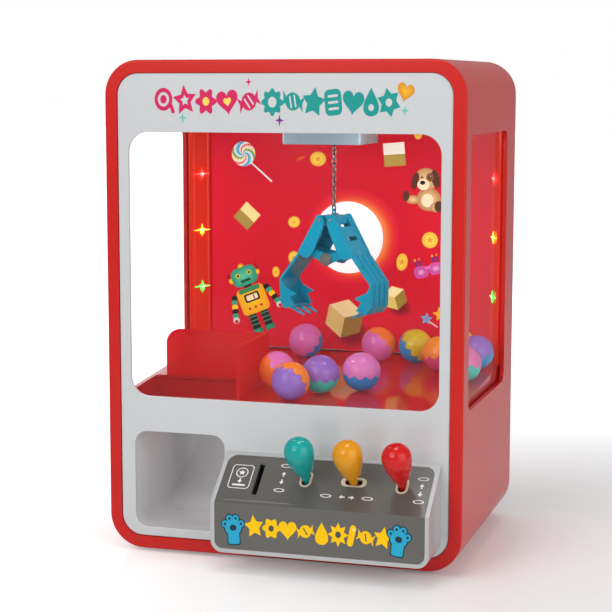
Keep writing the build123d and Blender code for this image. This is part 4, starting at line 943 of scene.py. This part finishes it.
class BackdropPrint(bpy.types.Operator):
    """Prints the backdrop: a white disc, sweets, coins, boxes and toys on crimson"""
    bl_idname = "claw_machine.backdrop_print"
    bl_label = "Backdrop print"

    def execute(self, context):
        tone = context.scene.claw_machine_colours
        # painted glow: the card and its print give off an even light of their own colours, lifting the play
        # area's inside
        card = plastic("backdrop_card_ink_painted_glow", tuple(tone.card), 0.38, 0.003, mottle=0.03, specular=0.12,
                       glow=0.3)
        coat_node(card, "backdrop_card")
        ink = plastic("backdrop_ink_painted_glow", None, 0.38, 0.003, specular=0.12, glow=0.3)
        art = Print((0, CARD_FRONT, 0), (1, 0, 0), (0, 0, 1), (0, -1, 0))
        crimson = "#DA1430"
        art.blush((4.5, 226.0), (1.0, 29.0, 31.5, 35.0, 40.0),
                  ["#FFFFFF", "#F0783A", "#E8502E", "#DE2830", crimson])
        art.shape(circle(30.0, (0.1, 225.4), count=96), "#FFFFFF")
        self.lollipop(art, (-91.5, 293.7))
        for centre, size, tilt, top, left, right in (
                ((40.7, 176.0), 10.8, 16, "#F6E6A4", "#DCC468", "#9C7E34"),
                ((-2.6, 157.0), 17.6, -12, "#EDD09A", "#D8B470", "#946C30")):
            self.cube(art, centre, size, tilt, (top, left, right))
        self.bar(art, (-88.6, 241.4), 8.3, -42, "#F0DE94", "#A88E44")
        self.bar(art, (39.3, 294.8), 9.0, 5, "#FFFAEA", "#B89C4A")
        for centre, size, wide, tilt in (((-46.9, 237.2), 4.8, 1.12, 20), ((-26.0, 290.3), 6.2, 1.15, 0),
                                         ((-62.9, 194.5), 4.6, 0.72, 0), ((59.1, 311.0), 3.8, 0.9, 0),
                                         ((69.9, 225.0), 6.8, 1.0, 0), ((46.5, 206.2), 7.4, 0.66, -8),
                                         ((-47.0, 207.0), 5.6, 0.9, 0)):
            self.coin(art, centre, size, wide, tilt)
        art.shape(turned(rounded(7.4, 2.2, 1.0, (-41.0, 290.6)), 24, (-41.0, 290.6)), "#D9571E")
        self.puppy(art, (64.5, 267.0))
        self.glasses(art, (69.0, 200.0))
        self.robot(art, (-84.0, 172.0))
        art.shape(turned(star(6.2, 2.8, 5, (79.0, 164.0)), 10, (79.0, 164.0)), "#F2B62A")
        art.shape(turned(rounded(9.0, 0.9, 0.4, (73.4, 155.4)), -32, (73.4, 155.4)), "#E9D6DC")
        art.shape(turned(star(5.4, 2.6, 5, (67.6, 159.6)), -6, (67.6, 159.6)), "#7C9BC8")
        art.build.make("backdrop_art", ink, "hatch", "backdrop_print")
        return {"FINISHED"}

    def lollipop(self, art, centre):
        """A stick and a disc whose colour bands turn as they run out from the middle."""
        x, z = centre
        stick = points((6.0, -7.4), (7.0, -6.6), (25.6, -22.4), (24.6, -23.4)) + np.array(centre)
        art.shape(stick, "#EFE6E6")
        art.height += art.step
        share = np.linspace(0.02, 1, 12)
        turn = np.linspace(0, 2 * np.pi, 96, endpoint=False)
        radius = 10.4
        reach = radius * share[:, None]
        rings = np.stack([reach * np.cos(turn) + x, reach * np.sin(turn) + z], -1)
        rings = np.concatenate([rings, rings[-1:]])
        heights = np.full(rings.shape[:2], art.height)
        heights[-1] = 0.0
        codes = ("#F6F3EC", "#2E9AC8", "#7CD0E8", "#F6F3EC", "#2E9A63", "#F3DC7A", "#F6F3EC", "#E2523A")
        palette = np.array([linear(code) for code in codes])
        bands = (turn[None] + 2.2 * np.append(share, 1.0)[:, None]) / (2 * np.pi) * 16
        art.build.grid(art.lift(rings, heights), palette[np.floor(bands).astype(int) % 8], ends=True)

    def cube(self, art, centre, size, tilt, codes):
        """A box seen corner on: three faces that share the nearest corner, over a soft shadow."""
        x, z = centre
        art.blush((x + size * 0.4, z - size * 0.75), (size * 0.2, size * 0.5, size * 0.8),
                  ["#7A0A1C", "#A30F24", "#DA1430"], 1.4)
        near = (x, z + size * 0.05)
        corners = [(x + size * math.cos(math.radians(a)), z + size * 0.95 * math.sin(math.radians(a)))
                   for a in (90, 150, 210, 270, 330, 30)]
        faces = ((corners[0], corners[1], near, corners[5]), (corners[1], corners[2], corners[3], near),
                 (near, corners[3], corners[4], corners[5]))
        for face, code in zip(faces, codes):
            art.shape(turned(points(*face), tilt, centre), code)

    def bar(self, art, centre, size, tilt, light, dark):
        """A gold bar seen end on: a square in two halves, the upper one light."""
        x, z = centre
        for low, high, code in ((z, z + size * 1.06, light), (z - size * 1.06, z, dark)):
            half = points((x - size, low), (x + size, low), (x + size, high), (x - size, high))
            art.shape(turned(half, tilt, centre), code)

    def coin(self, art, centre, size, wide, tilt):
        """A gold disc with a darker edge, a rim and a plain star."""
        art.shape(turned(circle(size, centre, wide), tilt, centre), "#D08C1E")
        art.shape(turned(circle(size * 0.9, centre, wide), tilt, centre), "#FFD250")
        art.band(turned(circle(size * 0.76, centre, wide), tilt, centre),
                 turned(circle(size * 0.66, centre, wide), tilt, centre), "#E0A02C")
        art.shape(turned(star(size * 0.5, size * 0.2, 5, centre), tilt, centre), "#DE9A26")

    def puppy(self, art, centre):
        """A sitting plush puppy: round body, head and paws, with dark ears and pads."""
        x, z = centre
        tan, dark, pale = "#EFC692", "#5A3222", "#FAE2BC"
        art.shape(circle(9.6, (x + 4.0, z - 8.6), 1.05), tan, edge="#B9824E")
        art.shape(circle(5.6, (x + 3.0, z - 9.4), 0.9), pale)
        for dx, dz, size, wide in ((-9.4, -9.0, 3.6, 1.7), (10.4, -15.0, 4.0, 1.3)):
            art.shape(circle(size, (x + dx, z + dz), wide), tan, edge="#B9824E")
        art.shape(circle(4.4, (x - 15.0, z - 6.0), 0.62), dark)
        art.shape(circle(4.6, (x + 12.6, z - 14.4), 0.8), dark)
        art.shape(circle(9.2, (x + 1.6, z + 7.8), 1.05), tan, edge="#C48F5C")
        art.shape(turned(circle(7.4, (x + 9.6, z + 8.4), 0.46), 12, (x + 9.6, z + 8.4)), dark)
        art.shape(turned(circle(7.0, (x - 7.4, z + 6.6), 0.42), -14, (x - 7.4, z + 6.6)), dark)
        art.shape(circle(3.6, (x + 5.0, z + 9.6), 0.9), "#8A5434")
        art.shape(circle(4.4, (x - 0.6, z + 3.4), 1.15), pale)
        art.shape(circle(1.7, (x - 1.2, z + 5.0), 1.3), "#2A1612")
        for dx in (-1.6, 4.8):
            art.shape(circle(1.05, (x + dx, z + 9.6)), "#1E1210")
            art.shape(circle(0.35, (x + dx + 0.3, z + 10.0)), "#FFFFFF")

    def glasses(self, art, centre):
        """Pink party glasses, tilted, with small candle shapes along the top."""
        x, z = centre
        for dx in (-6.4, 6.4):
            lens = (x + dx, z)
            art.shape(turned(rounded(12.4, 10.0, 4.2, lens), 16, centre), "#E86AB6", edge="#C94A9C")
            art.shape(turned(rounded(8.6, 6.4, 2.8, lens), 16, centre), "#F3A3D2", edge="#B83A8C")
        art.shape(turned(rounded(5.0, 2.2, 1.0, (x, z + 2.4)), 16, centre), "#E86AB6")
        for number, dx in enumerate((-9.0, -5.4, 6.0, 9.6)):
            art.shape(turned(rounded(1.5, 4.6, 0.5, (x + dx, z + 7.6)), 16, centre), "#4A3A8C")
            art.shape(turned(drop(2.2, (x + dx, z + 11.0)), 16, centre), ("#F2C23A", "#F08A3C")[number % 2])

    def robot(self, art, centre):
        """A boxy tin robot, leaning: head with round eyes and a grille, body with a dial, jointed limbs."""
        x, z = centre
        lean, broad = 22.0, 1.1
        green, yellow, black = "#2FA377", "#FFD01E", "#1D1C20"

        def part(outline, code, edge=None):
            wide = (outline - np.array(centre)) * np.array([broad, 1.0]) + np.array(centre)
            art.shape(turned(wide, lean, centre), code, edge=edge)

        for dx in (-5.2, 5.2):
            part(rounded(6.4, 17.0, 1.6, (x + dx, z - 19.0)), black)
            for dz in (-15.5, -19.0, -22.5):
                part(rounded(6.6, 0.9, 0.4, (x + dx, z + dz)), "#4A8F6A")
            part(rounded(8.4, 4.6, 1.8, (x + dx, z - 28.4)), green, "#1F6E50")
        for side in (-1, 1):
            for step in range(5):
                part(circle(2.3, (x + side * (14.0 + step * 1.1), z + 4.6 - step * 3.6), 1.1),
                     (black, green, yellow, black, green)[step])
            part(circle(2.7, (x + side * 19.0, z - 13.6)), "#D8D2CE")
            part(circle(1.5, (x + side * 19.2, z - 14.6)), "#C0122A")
        part(rounded(23.0, 23.0, 4.0, (x, z - 2.0)), yellow, "#F5A818")
        part(rounded(18.0, 4.0, 1.6, (x, z + 7.4)), "#3A8F5C")
        part(rounded(12.6, 7.4, 1.6, (x, z + 0.4)), black)
        part(rounded(9.6, 4.6, 1.0, (x, z + 0.4)), "#F6E7B8")
        part(rounded(0.9, 4.0, 0.3, (x + 1.6, z + 0.4)), "#B01417")
        for dx in (-5.0, 0.0, 5.0):
            part(circle(1.2, (x + dx, z - 8.4)), "#C8282A")
        part(rounded(6.0, 3.0, 0.8, (x, z + 11.0)), black)
        part(circle(2.6, (x, z + 28.0)), yellow, "#C9821E")
        for side in (-1, 1):
            part(rounded(0.8, 6.0, 0.3, (x + side * 12.2, z + 22.6)), black)
            part(circle(2.4, (x + side * 11.4, z + 19.0), 0.8), yellow, "#E89A18")
        part(rounded(21.0, 16.0, 5.4, (x, z + 19.4)), "#5CCBA0", "#2A9474")
        for side in (-1, 1):
            part(circle(2.1, (x + side * 4.8, z + 21.2)), "#F2E86A", "#A8B83A")
            part(circle(1.0, (x + side * 4.8, z + 21.2)), black)
        part(rounded(8.4, 2.4, 1.0, (x, z + 15.6)), "#1D4A3C")


class Stage(bpy.types.Operator):
    """Lays the pale floor, hangs the soft lights and sets the camera"""
    bl_idname = "claw_machine.stage"
    bl_label = "Stage, lights and camera"

    def seen_white(self, tree, low, glossy, high):
        """A brightness: high, a number or a socket, for camera and glass rays, glossy for mirror rays and
        low for the light it gives."""
        path = tree.nodes.new("ShaderNodeLightPath")
        level = None
        for start, end, ray in ((low, glossy, "Is Glossy Ray"), (None, high, "Is Transmission Ray"),
                                (None, high, "Is Camera Ray")):
            mix = tree.nodes.new("ShaderNodeMix")
            tree.links.new(path.outputs[ray], mix.inputs["Factor"])
            if level is None:
                mix.inputs["A"].default_value = start
            else:
                tree.links.new(level, mix.inputs["A"])
            if isinstance(end, bpy.types.NodeSocket):
                tree.links.new(end, mix.inputs["B"])
            else:
                mix.inputs["B"].default_value = end
            level = mix.outputs["Result"]
        return level

    def world(self, scene):
        """Even white surroundings: bright white where they are seen, softer where they light."""
        world = bpy.data.worlds.new("studio")
        scene.world = world
        world.use_nodes = True
        tree = world.node_tree
        white = tree.nodes["Background"]
        white.inputs["Color"].default_value = (1, 1, 1, 1)
        tree.links.new(self.seen_white(tree, 0.36, 0.38, 1.0), white.inputs["Strength"])

    def floor(self, scene):
        """A wide pale floor that keeps the machine's shadow, with a painted shade pool beside its right
        where the floor is seen.
        """
        material, tree, shader, where = new_material("stage_pale")
        pale = shade(tree, (0.86, 0.86, 0.86), noise(tree, where, 0.4), 0.01)
        tree.links.new(pale, shader.inputs["Base Color"])
        shader.inputs["Roughness"].default_value = 0.35
        shader.inputs["Emission Color"].default_value = (1, 1, 1, 1)
        seen = self.seen_white(tree, 0.0, 0.1, self.fade(tree, where))
        tree.links.new(seen, shader.inputs["Emission Strength"])
        reach = 12.0
        mesh = bpy.data.meshes.new("stage_floor")
        mesh.from_pydata([(-reach, -reach, 0), (reach, -reach, 0), (reach, reach, 0), (-reach, reach, 0)],
                         [], [(0, 1, 2, 3)])
        mesh.materials.append(material)
        plane = bpy.data.objects.new("stage_floor", mesh)
        scene.collection.objects.link(plane)

    def fade(self, tree, where):
        """Painted shade: a brightness that grows smoothly with the distance from a point beside the
        machine, so the floor is seen darker there.
        """
        away = tree.nodes.new("ShaderNodeVectorMath")
        away.operation = "DISTANCE"
        away.inputs[1].default_value = (0.25, 0.0, 0.0)
        tree.links.new(where, away.inputs[0])
        ramp = tree.nodes.new("ShaderNodeMapRange")
        ramp.interpolation_type = "SMOOTHSTEP"
        ramp.inputs["From Min"].default_value = 0.15
        ramp.inputs["From Max"].default_value = 0.9
        ramp.inputs["To Min"].default_value = 0.13
        ramp.inputs["To Max"].default_value = 1.0
        tree.links.new(away.outputs["Value"], ramp.inputs["Value"])
        return ramp.outputs["Result"]

    def light(self, scene, name, place, aim, size, power):
        """A square soft lamp that faces a point."""
        data = bpy.data.lights.new(name, "AREA")
        data.size = size
        data.energy = power
        lamp = bpy.data.objects.new(name, data)
        scene.collection.objects.link(lamp)
        here, there = at(*place), at(*aim)
        lamp.location = here
        from_here = Vector(there - here)
        lamp.rotation_mode = "QUATERNION"
        lamp.rotation_quaternion = from_here.to_track_quat("-Z", "Y")

    def camera(self, scene):
        """The camera, at its turn and rise about the machine."""
        back = np.array([math.sin(CAMERA_TURN) * math.cos(CAMERA_RISE),
                         -math.cos(CAMERA_TURN) * math.cos(CAMERA_RISE), math.sin(CAMERA_RISE)])
        data = bpy.data.cameras.new("camera")
        data.lens = CAMERA_LENS
        data.shift_x, data.shift_y = CAMERA_SHIFT
        data.clip_start, data.clip_end = 0.05, 60.0
        camera = bpy.data.objects.new("camera", data)
        scene.collection.objects.link(camera)
        camera.location = at(*(np.array(CAMERA_TARGET) + CAMERA_AWAY * back))
        camera.rotation_mode = "QUATERNION"
        camera.rotation_quaternion = Vector(-back).to_track_quat("-Z", "Y")
        scene.camera = camera

    def execute(self, context):
        scene = context.scene
        scene.view_settings.view_transform = "Standard"
        self.camera(scene)
        self.world(scene)
        self.floor(scene)
        middle = (0, 80, 200)
        self.light(scene, "key", (-500, -1100, 900), middle, 0.9, 5.8)
        self.light(scene, "fill", (900, -700, 500), middle, 1.0, 4.4)
        self.light(scene, "top", (60, -150, 1350), middle, 0.4, 3.6)
        self.light(scene, "front", (-420, -1400, 660), (0, 100, 210), 0.5, 2.6)
        self.light(scene, "right", (1300, -350, 420), middle, 0.9, 2.2)
        self.light(scene, "rear", (-700, 1500, 900), middle, 1.0, 4.0)
        for side in (-1, 1):
            self.light(scene, "inside", (side * 88, 30, 316), (0, 170, 170), 0.03, 0.07)
        return {"FINISHED"}


class ClawMachinePanel(bpy.types.Panel):
    """The machine's settings and pieces"""
    bl_idname = "VIEW3D_PT_claw_machine"
    bl_label = "Claw Machine"
    bl_space_type = "VIEW_3D"
    bl_region_type = "UI"
    bl_category = "Claw Machine"

    def draw(self, context):
        colours = context.scene.claw_machine_colours
        for name in ClawMachineColours.__annotations__:
            self.layout.prop(colours, name)
        sizes = context.scene.claw_machine_sizes
        for name in ClawMachineSizes.__annotations__:
            self.layout.prop(sizes, name)
        for operator in PIECES:
            self.layout.operator(operator.bl_idname)


PIECES = (Stage, CaseFinish, PlayAreaFinish, MechanismFinish, Claw, Chain, Knobs, Capsules, Lamps,
          ConsoleDress, HeaderPrint, BackdropPrint)
CLASSES = (ClawMachineColours, ClawMachineSizes, *PIECES, ClawMachinePanel)


def register():
    """Registers the classes and hangs the settings on the scene."""
    for kind in CLASSES:
        bpy.utils.register_class(kind)
    bpy.types.Scene.claw_machine_colours = PointerProperty(type=ClawMachineColours)
    bpy.types.Scene.claw_machine_sizes = PointerProperty(type=ClawMachineSizes)


def unregister():
    """Takes the settings and the classes away again."""
    del bpy.types.Scene.claw_machine_sizes
    del bpy.types.Scene.claw_machine_colours
    for kind in reversed(CLASSES):
        bpy.utils.unregister_class(kind)


def main():
    """Makes the stage and every piece."""
    register()
    for operator in PIECES:
        family, name = operator.bl_idname.split(".")
        getattr(getattr(bpy.ops, family), name)()


if __name__ == "__main__":
    main()
